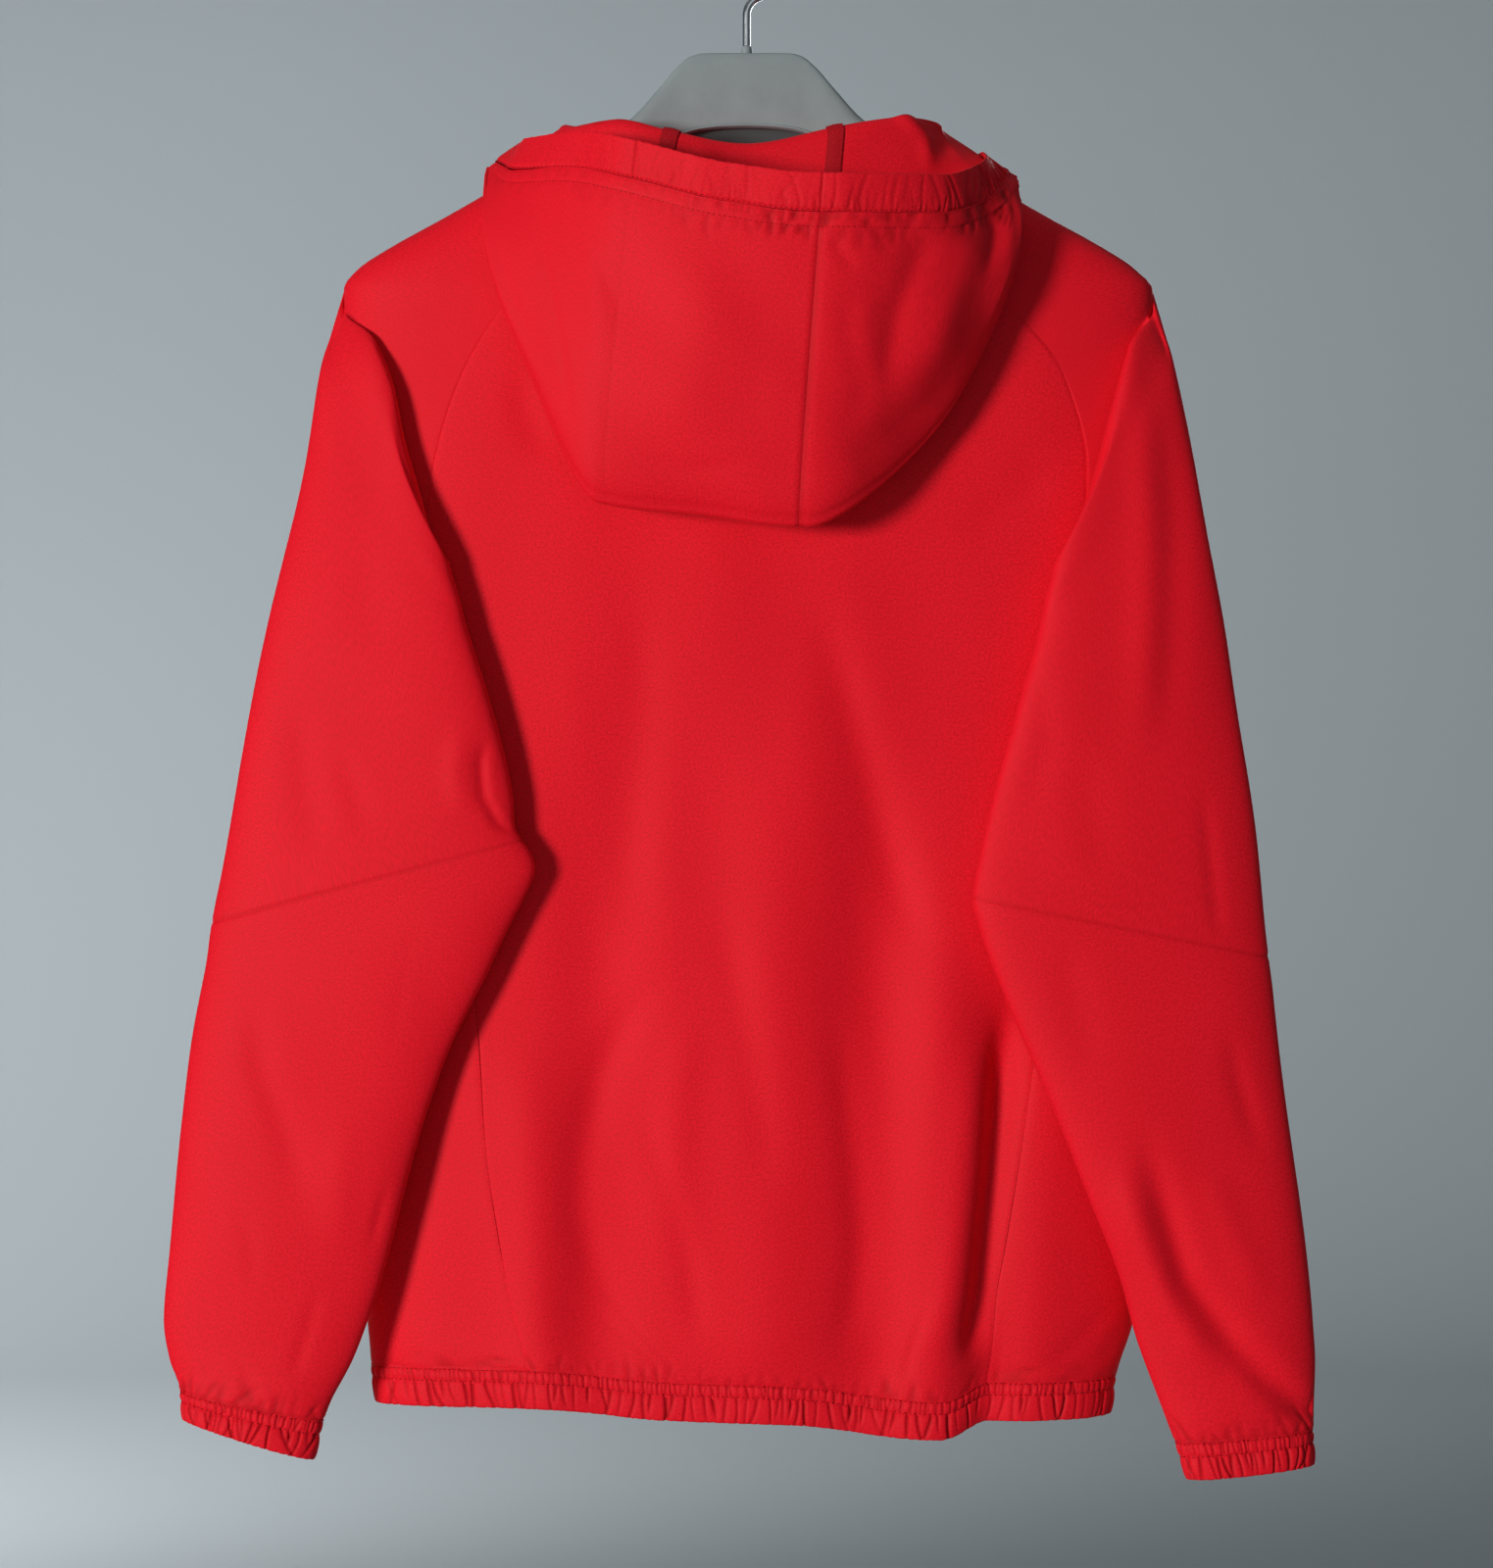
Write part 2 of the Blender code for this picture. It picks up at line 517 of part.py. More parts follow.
def back_panel(over, up):
    """Back: over 0 at the left seam and 1 at the right one, up 0 at the hem and 1 at the neckline."""
    left_out, left_height = back_edge(-1, up)
    right_out, right_height = back_edge(1, up)
    x = mix(-left_out + SEAM_EDGE, right_out - SEAM_EDGE, over)
    height = mix(left_height, right_height, over)
    low = ease(1 - up / BACK_ARM) ** 2
    straight = mix(hem_height(-left_out), hem_height(right_out), over)
    height = height + (hem_height(x) - straight) * low
    high = ease((up - BACK_ARM) / (1 - BACK_ARM))
    neck = neck_place(mix(-NECK_BACK, NECK_BACK, over))
    x = x + (neck[:, 0] - mix(-left_out, right_out, over)) * (up == 1)
    height = height + (neck[:, 2] - NECK_AT_BACK_RAGLAN[1]) * high
    height = height + SEAM_GAP / 2 * (ease(1 - 20 * up) - ease(20 * up - 19))
    return back_point(x, height)


def front_panel(side):
    def surface(over, up):
        """Front: over 0 at its side seam and 1 at the zip, up 0 at the hem and 1 at the raglan and the neckline."""
        on_raglan = over <= RAGLAN_OVER
        raglan = raglan_front(side, np.clip(over / RAGLAN_OVER, 0, 1))
        neck = neckline(mix(NECK_FRONT, 1, np.clip((over - RAGLAN_OVER) / (1 - RAGLAN_OVER), 0, 1)))
        top_across = np.where(on_raglan, raglan[:, 0], neck[:, 0])
        top_height = np.where(on_raglan, raglan[:, 1], neck[:, 1])
        seam_foot = hem_height(side * side_seam(side, HEM_BACK[3].height))
        height = mix(mix(seam_foot, HEM_FRONT, ease(2 * over)), top_height, up)
        across = mix(curve(FRONT_FOOT, over)[:, 0], top_across, ease(up))
        edge = across_at(side, side_seam(side, height), height)
        zip_edge = -across_at(side, ZIP_EDGE, height)
        to_edge = edge - mix(FRONT_FOOT[0].across, raglan_front(side, 0.0)[0], ease(up))
        to_zip = zip_edge - mix(FRONT_FOOT[-1].across, neckline(1.0)[0], ease(up))
        across = across + to_edge * ease(1 - over / SIDE_OVER) + to_zip * ease(1 - 3 * (1 - over))
        across = across - FRONT_INSET * ease(1 - 8 * (over - RAGLAN_OVER))
        height = height + SEAM_GAP / 2 * (ease(1 - 20 * up) - 1.6 * ease(20 * up - 19))
        return body(side, across, height)
    return surface


def hem_band(over, down):
    """Hem band below the panels' own hem points: over 0 at the left zip edge, 1 at the right one."""
    column = over * HEM_COLUMNS
    front_left = front_panel(-1)(np.clip(1 - column / FRONT_COLUMNS, 0, 1), np.zeros_like(over))
    back = back_panel(np.clip((column - FRONT_COLUMNS) / BACK_COLUMNS, 0, 1), np.zeros_like(over))
    right_share = np.clip((column - FRONT_COLUMNS - BACK_COLUMNS) / FRONT_COLUMNS, 0, 1)
    front_right = front_panel(1)(right_share, np.zeros_like(over))
    on_left = (column < FRONT_COLUMNS)[:, None]
    on_back = (column <= FRONT_COLUMNS + BACK_COLUMNS)[:, None]
    top = np.where(on_left, front_left, np.where(on_back, back, front_right))
    drawn_in = mix(1, HEM_DRAWN_IN, down)
    return stack(top[:, 0] * drawn_in, top[:, 1], top[:, 2] - SEAM_GAP - down * HEM_BAND_HEIGHT)


# ------------------------------------------------------------------- sleeves

def raglan_edge(side, share):
    """Seam of the sleeve's top: from the underarm up the back, round the neck, down the front."""
    back = raglan_back(side, np.clip(share / BACK_END, 0, 1))
    back_across = across_at(side, back[:, 0], back[:, 1])
    neck_share = np.clip((share - BACK_END) / (NECK_END - BACK_END), 0, 1)
    neck = neckline(mix(NECK_BACK, NECK_FRONT, neck_share))
    front = raglan_front(side, np.clip((1 - share) / (1 - NECK_END), 0, 1))
    on_back = share <= BACK_END
    on_neck = share <= NECK_END
    across = np.where(on_back, back_across, np.where(on_neck, neck[:, 0], front[:, 0]))
    height = np.where(on_back, back[:, 1], np.where(on_neck, neck[:, 1], front[:, 1]))
    return across, height


def armhole(side, share, tucked):
    """Armhole ring on the body: the visible fold line at the back, moved out under the fold if tucked."""
    to_tip = np.clip(share / RIDGE, 0, 1)
    tuck = tucked * mix(TUCK_TIP, TUCK_UNDERARM, ease(1 - 1.4 * to_tip))
    back = curve(ARMHOLE_FOLD[side], 1 - ease_ends(to_tip))
    out = back[:, 0] + tuck * ease(6 * (1 - to_tip))
    back_across = across_at(side, out, back[:, 1]) * ease(12 * (1 - to_tip))
    down = np.clip((share - RIDGE) / (1 - RIDGE), 0, 1)
    front = curve(ARMHOLE_FRONT, down)
    foot = across_at(side, ARMHOLE_FOLD[side][-1].x + tucked * TUCK_UNDERARM, ARMHOLE_FOLD[side][-1].height)
    foot_height = ARMHOLE_FOLD[side][-1].height
    last = ease((down - 0.83) / 0.17)
    front_across = mix(front[:, 0], foot, last)
    front_height = mix(front[:, 1], foot_height, last)
    on_back = share <= RIDGE
    return np.where(on_back, back_across, front_across), np.where(on_back, back[:, 1], front_height)


def ease_ends(value):
    """Runs a little ahead near the shoulder tip, where the raglan lines crowd."""
    return mix(value, np.sin(value * pi / 2), 0.35)


def lay_on_back(points):
    """Where the layer next to the body would come too close, it rests on the back."""
    x, y, z = points.T
    half_width, middle, _, _ = np.moveaxis(curve(LEVELS, z), -1, 0)
    inside = ease((1.0 - np.abs(x - middle) / half_width) / 0.04)
    limit = back_point(x, z)[:, 1] - REST_GAP
    return stack(x, mix(y, np.minimum(y, limit), inside), z)


def sleeve_tube(side, share, ring):
    """Point of the hanging sleeve: share round it (0 at its inner edge), ring along the table."""
    out_x, out_y, out_z, in_x, in_y, in_z, depth = np.moveaxis(curve(RINGS[side], ring), -1, 0)
    turn = np.where(share <= RIDGE, pi * share / RIDGE, pi + pi * (share - RIDGE) / (1 - RIDGE))
    power = 2 / FLAT_TUBE
    reach = np.sign(np.cos(turn)) * np.abs(np.cos(turn)) ** power
    thick = np.sign(np.sin(turn)) * np.abs(np.sin(turn)) ** power
    x = (out_x + in_x) / 2 + reach * (in_x - out_x) / 2
    y = (out_y + in_y) / 2 + reach * (in_y - out_y) / 2 - thick * depth
    z = (out_z + in_z) / 2 + reach * (in_z - out_z) / 2
    return lay_on_back(stack(side * x, y, z))


def sleeve_upper(side):
    def surface(share, along):
        """Upper sleeve: share round it, along from the raglan seam (0) to the elbow seam (1)."""
        share = share % 1.0
        top_across, top_height = raglan_edge(side, share)
        hole_across, hole_height = armhole(side, share, 1)
        seam_points = body(side, top_across, top_height)
        reach = np.linalg.norm(body(side, hole_across, hole_height) - seam_points, axis=-1)
        start = SEAM_EDGE / np.maximum(reach, SHORTEST_YOKE)
        run = mix(start, 1, np.clip(along / ARMHOLE_AT, 0, 1))
        yoke = body(side, mix(top_across, hole_across, run), mix(top_height, hole_height, run))

        line_across, line_height = armhole(side, share, 0)
        to_tip = np.clip(share / RIDGE, 0, 1)
        strength = ease(2.2 * (1 - to_tip))[:, None]
        hole = body(side, hole_across, hole_height)
        line = body(side, line_across, line_height)
        away = strength * np.array([0.0, -1.0, 0.0])
        first_ring = sleeve_tube(side, share, np.full_like(share, 1.0))
        lip_back = line + LIP_RISE * away
        turned_back = mix(hole, first_ring, BACK_TURN) + TURN_RISE * away
        lip_front = lay_on_back(mix(hole, first_ring, FRONT_LIP))
        turned_front = lay_on_back(mix(hole, first_ring, FRONT_TURN))
        near_tip = ease(3 * (1 - to_tip))[:, None]
        rows = [
            hole,
            mix(lip_front, lip_back, near_tip),
            mix(turned_front, turned_back, near_tip),
        ]
        knots = [ARMHOLE_AT, LIP_AT, TURNED_AT]
        for ring, place in enumerate(RING_ROWS_AT, start=1):
            rows.append(sleeve_tube(side, share, np.full_like(share, float(ring))))
            knots.append(place)
        tube = through(knots, rows, np.maximum(along, ARMHOLE_AT))
        return np.where((along < ARMHOLE_AT)[:, None], yoke, tube)
    return surface


def sleeve_stretch(side, first, last):
    """A stretch of the tube between two rings, for the lower sleeve and the cuff."""
    def surface(share, along):
        return sleeve_tube(side, share % 1.0, mix(first, last, along))
    return surface


# ---------------------------------------------------------------------- hood

def fold_points(before, at, after, width):
    """The two shoulders, the axis and the middle of a round fold between two stretches."""
    axis = unit(unit(at - before) + unit(at - after), 0.25)
    sideways = unit(after - before - np.sum((after - before) * axis, axis=-1, keepdims=True) * axis, 1e-6)
    middle = at - axis * width / 2
    return middle - sideways * width / 2, middle + sideways * width / 2, axis, middle, sideways


def arc(middle, sideways, axis, width, share):
    angle = pi * share
    return middle + (axis * np.sin(angle) - sideways * np.cos(angle)) * width / 2


def hood(at, along):
    """Point of the hood: at a section, along from the neck seam (0) to the rim (1)."""
    row = curve(HOOD, at)
    roll, fold, rim = row[:, 0:3], row[:, 3:6], row[:, 6:9]
    roll_width, fold_width, lift = np.maximum(row[:, 9:10], 0), np.maximum(row[:, 10:11], 0), row[:, 11:12]
    neck = neck_place(at)
    neck = neck + unit(roll - neck) * lift
    roll_in, roll_out, roll_axis, roll_middle, roll_way = fold_points(neck, roll, fold, roll_width)
    fold_in, fold_out, fold_axis, fold_middle, fold_way = fold_points(roll, fold, rim, fold_width)

    def share(start, end):
        return np.clip((along - start) / (end - start), 0, 1)[:, None]

    stand = mix(neck, roll_in, share(0, ROLL_FROM))
    over = arc(roll_middle, roll_way, roll_axis, roll_width, share(ROLL_FROM, ROLL_TO))
    down = mix(roll_out, fold_in, share(ROLL_TO, FOLD_FROM))
    under = arc(fold_middle, fold_way, fold_axis, fold_width, share(FOLD_FROM, FOLD_TO))
    rise = share(FOLD_TO, 1)
    length = np.linalg.norm(rim - fold_out, axis=-1, keepdims=True)
    up = mix(fold_out, rim, rise) + fold_way * BELLY * np.sin(pi * rise**0.6) * ease(length / 0.18)
    places = ((along <= ROLL_FROM, stand), (along <= ROLL_TO, over), (along <= FOLD_FROM, down),
              (along <= FOLD_TO, under), (along <= 1.5, up))
    result = up
    for here, points in reversed(places):
        result = np.where(here[:, None], points, result)
    return result


def hood_hem_start(at, gap):
    """Where along a section the casing of the rim begins, moved along by a gap."""
    row = curve(HOOD, at)
    length = np.linalg.norm(row[:, 6:9] - row[:, 3:6], axis=-1)
    return 1 - (np.minimum(HOOD_HEM_WIDTH / length, 0.88) - gap / length) * (1 - FOLD_TO)


def hood_side_sections():
    """Sections of a side of the hood, from the zip to the seam of the center piece, as shares from 1 down."""
    front = np.linspace(1, NECK_FRONT, HOOD_FRONT_COLUMNS + 1)
    neck = np.linspace(NECK_FRONT, NECK_BACK, HOOD_NECK_COLUMNS + 1)[1:]
    return np.array([*front, *neck, HOOD_SEAM])


def hood_panel(sections):
    """One piece of the hood between two of its seams: over from the first section to the last."""
    rows = np.array([0, .035, ROLL_FROM, .09, ROLL_TO, .20, .31, .41, FOLD_FROM, .525, FOLD_TO, .66, .80, 1.0])
    inner = [float(abs(sections[0]) < 1), float(abs(sections[-1]) < 1)]
    trimmed = sections + SEAM_TRIM * np.array([inner[0], *[0] * (len(sections) - 2), -inner[1]])

    def surface(over, down):
        at = np.interp(over, np.linspace(0, 1, len(trimmed)), trimmed)
        end = hood_hem_start(at, -SEAM_GAP)
        place = np.interp(down, np.linspace(0, 1, len(rows)), rows)
        scaled = np.where(place > FOLD_TO, FOLD_TO + (place - FOLD_TO) / (1 - FOLD_TO) * (end - FOLD_TO), place)
        return hood(at, scaled)
    return surface, len(rows) - 1


def hood_hem(over, down):
    side = hood_side_sections()
    center = np.linspace(-HOOD_SEAM, HOOD_SEAM, HOOD_CENTER_COLUMNS + 1)[1:-1]
    sections = np.array([*-side, *center, *side[::-1]])
    at = np.interp(over, np.linspace(0, 1, len(sections)), sections)
    return hood(at, mix(hood_hem_start(at, SEAM_GAP), 1, down))


# ---------------------------------------------------------------- front zip

def front_y(height):
    """Depth of the front edge along the zip, on the fronts and on the hood above them."""
    neck = NECKLINE[-1].height
    low = curve(LEVELS, np.minimum(height, neck))[..., 3]
    first = HOOD[0]
    start = float(curve(LEVELS, neck)[3])
    keys = (neck, first.roll_z, first.fold_z, first.rim_z)
    high = np.interp(height, keys, (start, first.roll_y, first.fold_y, first.rim_y))
    return np.where(height < neck, low, high)


def tape_y(height):
    """The zip's tape lies behind the front edges, a little further behind the two casings."""
    in_hem = ease((HEM_FRONT + 0.012 - height) / 0.010)
    in_hood = ease((height - NECKLINE[-1].height + 0.020) / 0.015)
    return front_y(height) - mix(TAPE_BEHIND, TAPE_BEHIND_CASING, np.maximum(in_hem, in_hood))


def zip_tape(side):
    on_front = np.linspace(HEM_FRONT, NECKLINE[-1].height, SEAM_ROWS + 1)[1:]
    on_hood = (HOOD[0].roll_z, HOOD[0].fold_z, ZIP_TOP)
    heights = np.array([HEM_FRONT - HEM_BAND_HEIGHT, HEM_FRONT, HEM_FRONT + 0.012, *on_front, *on_hood])

    def surface(over, up):
        height = np.interp(up, np.linspace(0, 1, len(heights)), heights)
        return stack(side * mix(TAPE_INNER, TAPE_OUTER, over), tape_y(height), height)
    return surface, len(heights) - 1


# ------------------------------------------------------------ making objects

def material(name, colour, roughness, metallic):
    made = bpy.data.materials.new(name)
    made.use_nodes = True
    made.diffuse_color = (*colour, 1)
    shader = made.node_tree.nodes["Principled BSDF"]
    shader.inputs["Base Color"].default_value = (*colour, 1)
    shader.inputs["Roughness"].default_value = roughness
    shader.inputs["Metallic"].default_value = metallic
    return made


def collection(name):
    made = bpy.data.collections.new(name)
    bpy.context.scene.collection.children.link(made)
    return made


def place(name, data, into, colour, roughness=0.6, metallic=0.0):
    made = bpy.data.objects.new(name, data)
    into.objects.link(made)
    if colour:
        data.materials.append(material(name, colour, roughness, metallic))
    return made


def sheet(name, into, surface, over_steps, along_steps, wall, closed=False, colour=RED):
    """A cloth piece: a grid moved onto its surface, closed to a tube if asked, thickened to a wall."""
    mesh = bpy.data.meshes.new(name)
    work = bmesh.new()
    bmesh.ops.create_grid(work, x_segments=over_steps, y_segments=along_steps, size=0.5)
    flat = np.array([vertex.co[:2] for vertex in work.verts]) + 0.5
    flat = np.round(flat * [over_steps, along_steps]) / [over_steps, along_steps]
    points = surface(flat[:, 0], flat[:, 1])
    for vertex, point in zip(work.verts, points):
        vertex.co = point
    if closed:
        bmesh.ops.remove_doubles(work, verts=work.verts, dist=1e-6)
    bmesh.ops.recalc_face_normals(work, faces=work.faces)
    work.to_mesh(mesh)
    work.free()
    mesh.shade_smooth()
    made = place(name, mesh, into, colour)
    walls = made.modifiers.new("wall", "SOLIDIFY")
    walls.thickness = wall
    walls.offset = 0
    return made


def box(name, into, centre, size, colour=None, metallic=0.0, roughness=0.4):
    mesh = bpy.data.meshes.new(name)
    work = bmesh.new()
    bmesh.ops.create_cube(work, size=1)
    bmesh.ops.scale(work, vec=size, verts=work.verts)
    work.to_mesh(mesh)
    work.free()
    made = place(name, mesh, into, colour, roughness, metallic)
    made.location = centre
    return made


def combine(target, tool, operation):
    step = target.modifiers.new(tool.name, "BOOLEAN")
    step.operation = operation
    step.object = tool
    tool.hide_render = True
    tool.display_type = "WIRE"


# --------------------------------------------------------------- sub-objects

def make_body(into):
    sheet("back_panel", into, back_panel, BACK_COLUMNS, SEAM_ROWS + BACK_STEPS, CLOTH)
    for side, name in zip(SIDES, ("front_left", "front_right")):
        sheet(name, into, front_panel(side), FRONT_COLUMNS, SEAM_ROWS, CLOTH)
    sheet("hem_band", into, hem_band, HEM_COLUMNS, 1, CASING)


def make_sleeves(into):
    for side, word in zip(SIDES, ("left", "right")):
        sheet("sleeve_upper_" + word, into, upper_rows(side), ROUND_STEPS, 13, CLOTH, closed=True)
        lower = sleeve_stretch(side, ELBOW_RING + ELBOW_TRIM, CUFF_RING - RING_TRIM)
        sheet("sleeve_lower_" + word, into, lower, ROUND_STEPS, 7, CLOTH, closed=True)
        cuff = sleeve_stretch(side, CUFF_RING + RING_TRIM, LAST_RING)
        sheet("cuff_" + word, into, cuff, ROUND_STEPS, 1, CASING, closed=True)


def upper_rows(side):
    """The upper sleeve read at the rows that its shape needs."""
    rows = np.array([0, 0.06, 0.125, 0.19, ARMHOLE_AT, LIP_AT, TURNED_AT, *RING_ROWS_AT[:-1], 0.945, 0.9995])
    surface = sleeve_upper(side)

    def stepped(share, along):
        return surface(share, np.interp(along, np.linspace(0, 1, len(rows)), rows))
    return stepped


def make_hood(into):
    side = hood_side_sections()
    center = np.linspace(-HOOD_SEAM, HOOD_SEAM, HOOD_CENTER_COLUMNS + 1)
    for name, sections in (("hood_left", -side), ("hood_center", center), ("hood_right", side[::-1])):
        surface, rows = hood_panel(sections)
        sheet(name, into, surface, len(sections) - 1, rows, CLOTH)
    hem_columns = 2 * (len(side) - 1) + HOOD_CENTER_COLUMNS
    sheet("hood_hem", into, hood_hem, hem_columns, 1, CASING)


def make_zip(into, tools):
    for side, word in zip(SIDES, ("left", "right")):
        surface, rows = zip_tape(side)
        sheet("zip_tape_" + word, into, surface, 1, rows, TAPE, colour=TAPE_RED)
    middle_y = float(tape_y(np.array([SLIDER_HEIGHT]))[0])
    reach = TAPE / 2 + SLIDER_GAP + SLIDER_PLATE / 2
    front_plate_y, back_plate_y = middle_y + reach, middle_y - reach
    lean = slider_lean()
    slider = box("zip_slider", into, (0, 0, 0), (SLIDER_WIDTH, SLIDER_PLATE, SLIDER_LENGTH), STEEL, 1.0)
    offsets = (
        ("slider_back", (0, back_plate_y - front_plate_y, 0), (SLIDER_WIDTH, SLIDER_PLATE, SLIDER_LENGTH)),
        ("slider_post", (0, (back_plate_y - front_plate_y) / 2, POST_LENGTH / 2),
         (POST_WIDTH, front_plate_y - back_plate_y + SLIDER_PLATE / 2, POST_LENGTH)),
        ("bail_top", (0, BAIL_REACH / 2, (BAIL_LENGTH - BAIL_WIRE) / 2), (BAIL_WIDTH, BAIL_REACH, BAIL_WIRE)),
        ("bail_foot", (0, BAIL_REACH / 2, -(BAIL_LENGTH - BAIL_WIRE) / 2), (BAIL_WIDTH, BAIL_REACH, BAIL_WIRE)),
        ("bail_bridge", (0, BAIL_REACH - BAIL_WIRE / 2, 0), (BAIL_WIDTH, BAIL_WIRE, BAIL_LENGTH)),
    )
    for name, centre, size in offsets:
        tool = box(name, tools, centre, size)
        tool.parent = slider
        combine(slider, tool, "UNION")
    slider.location = (0, front_plate_y, SLIDER_HEIGHT)
    slider.rotation_euler = (lean, 0, 0)
    bar_y = (BAIL_REACH - BAIL_WIRE + SLIDER_PLATE / 2) / 2
    pull = pull_tab(into)
    pull.location = (0, front_plate_y + bar_y * cos(lean), SLIDER_HEIGHT + bar_y * sin(lean))


def slider_lean():
    """The slider lies along the zip, which leans at the throat."""
    heights = SLIDER_HEIGHT + np.array([-0.5, 0.5]) * SLIDER_LENGTH
    low, high = front_y(heights)
    return -np.arctan2(high - low, SLIDER_LENGTH)


def pull_tab(into):
    """Flat tab with a window under its bar; its origin is the bar's axis, about which it swings."""
    data = bpy.data.curves.new("zip_pull_tab", "CURVE")
    data.dimensions = "2D"
    data.fill_mode = "BOTH"
    data.extrude = PULL_PLATE / 2
    half, tip = PULL_WIDTH / 2, PULL_TIP_WIDTH / 2
    top, foot = PULL_BAR / 2, -PULL_LENGTH
    outline = ((-half, top), (-half, foot * 0.45), (-tip, foot * 0.62), (-tip, foot * 0.93), (-tip * 0.7, foot),
               (tip * 0.7, foot), (tip, foot * 0.93), (tip, foot * 0.62), (half, foot * 0.45), (half, top))
    window_half, window_top = PULL_WINDOW_WIDTH / 2, -PULL_BAR / 2
    window = ((-window_half, window_top), (window_half, window_top), (window_half, window_top - PULL_WINDOW),
              (-window_half, window_top - PULL_WINDOW))
    for points in (outline, window):
        spline = data.splines.new("POLY")
        spline.points.add(len(points) - 1)
        for point, (x, y) in zip(spline.points, points):
            point.co = (x, y, 0, 1)
        spline.use_cyclic_u = True
    made = place("zip_pull_tab", data, into, STEEL, 0.3, 1.0)
    made.rotation_euler = (radians(90), 0, 0)
    return made


def make_hanger(into, tools):
    mesh = bpy.data.meshes.new("hanger_body")
    work = bmesh.new()
    rows = [Bar(-row.out, *row[1:]) for row in reversed(HANGER[1:])] + list(HANGER)
    around, length = 16, len(rows) - 1
    bmesh.ops.create_grid(work, x_segments=length, y_segments=around, size=0.5)
    table = np.array(rows)
    for vertex in work.verts:
        row = table[round((vertex.co.x + 0.5) * length)]
        angle = 2 * pi * (round((vertex.co.y + 0.5) * around) % around) / around
        power = 2 / HANGER_OVAL
        rise = np.sign(cos(angle)) * abs(cos(angle)) ** power
        thick = np.sign(sin(angle)) * abs(sin(angle)) ** power
        vertex.co = (row[0], row[3] * thick, (row[1] + row[2]) / 2 + (row[1] - row[2]) / 2 * rise)
    bmesh.ops.remove_doubles(work, verts=work.verts, dist=1e-6)
    bmesh.ops.holes_fill(work, edges=[edge for edge in work.edges if edge.is_boundary])
    bmesh.ops.recalc_face_normals(work, faces=work.faces)
    work.to_mesh(mesh)
    work.free()
    mesh.shade_smooth()
    hanger = place("hanger_body", mesh, into, HANGER_GREY, 0.5)
    boss_mesh = bpy.data.meshes.new("hanger_boss")
    work = bmesh.new()
    bmesh.ops.create_cone(work, cap_ends=True, segments=20, radius1=BOSS_RADIUS, radius2=BOSS_RADIUS * 0.9,
                          depth=BOSS_HEIGHT + BOSS_ROOT)
    work.to_mesh(boss_mesh)
    work.free()
    boss = place("hanger_boss", boss_mesh, tools, None)
    boss.location = (0, 0, HANGER[0].top + (BOSS_HEIGHT - BOSS_ROOT) / 2)
    combine(hanger, boss, "UNION")


def hook_path():
    """Stem, bend to one side, and the crook round the rail, as points in x and z."""
    turn = acos(BEND_RADIUS / (BEND_RADIUS + CROOK_RADIUS))
    crook_z = STEM_TOP + sqrt((BEND_RADIUS + CROOK_RADIUS) ** 2 - BEND_RADIUS**2)
    foot = HANGER[0].top + BOSS_HEIGHT + SEAM_GAP
    points = [(0, foot), (0, (foot + STEM_TOP) / 2)]
    for angle in np.linspace(0, turn, 6):
        points.append((BEND_RADIUS * (1 - cos(angle)), STEM_TOP + BEND_RADIUS * sin(angle)))
    for angle in np.linspace(-turn, CROOK_END, 30)[1:]:
        points.append((CROOK_RADIUS * cos(angle), crook_z + CROOK_RADIUS * sin(angle)))
    return points


def make_hook(into):
    data = bpy.data.curves.new("hanger_hook", "CURVE")
    data.dimensions = "3D"
    data.bevel_depth = WIRE
    data.bevel_resolution = 2
    data.use_fill_caps = True
    spline = data.splines.new("POLY")
    points = hook_path()
    spline.points.add(len(points) - 1)
    for point, (x, z) in zip(spline.points, points):
        point.co = (x, 0, z, 1)
    spline.use_smooth = True
    place("hanger_hook", data, into, STEEL, 0.15, 1.0)


def build():
    for old in list(bpy.data.objects):
        bpy.data.objects.remove(old, do_unlink=True)
    parts = collection(NAME)
    tools = collection(NAME + "_tools")
    make_body(parts)
    make_sleeves(parts)
    make_hood(parts)
    make_zip(parts, tools)
    make_hanger(parts, tools)
    make_hook(parts)


build()
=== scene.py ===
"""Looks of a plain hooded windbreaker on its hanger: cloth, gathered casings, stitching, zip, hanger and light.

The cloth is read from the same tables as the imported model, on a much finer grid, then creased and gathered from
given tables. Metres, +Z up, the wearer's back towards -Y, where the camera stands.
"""
from collections import namedtuple
from math import acos, cos, pi, radians, sin, sqrt

import bmesh
import bpy
import numpy as np
from mathutils import Matrix, Vector


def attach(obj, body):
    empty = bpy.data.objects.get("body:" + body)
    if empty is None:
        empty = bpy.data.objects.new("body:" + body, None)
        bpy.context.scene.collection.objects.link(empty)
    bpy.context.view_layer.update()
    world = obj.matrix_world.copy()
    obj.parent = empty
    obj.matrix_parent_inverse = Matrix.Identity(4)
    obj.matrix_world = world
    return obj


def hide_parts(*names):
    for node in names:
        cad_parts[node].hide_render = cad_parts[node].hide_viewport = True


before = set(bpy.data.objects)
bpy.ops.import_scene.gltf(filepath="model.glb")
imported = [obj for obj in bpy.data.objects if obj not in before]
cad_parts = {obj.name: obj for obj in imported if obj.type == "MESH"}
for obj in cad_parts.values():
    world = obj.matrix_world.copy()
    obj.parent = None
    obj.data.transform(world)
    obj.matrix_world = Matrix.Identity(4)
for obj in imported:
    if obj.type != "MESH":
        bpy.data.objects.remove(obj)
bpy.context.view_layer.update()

CLOTH = 0.0006
SEAM_GAP = 0.0003
SEAM_EDGE = 0.75 * SEAM_GAP
SIDES = (-1, 1)
BACK, FRONT = 1, -1


def table_of(kind, *rows):
    return tuple(kind(*row) for row in rows)


# ---------------------------------------------------------------- body tables

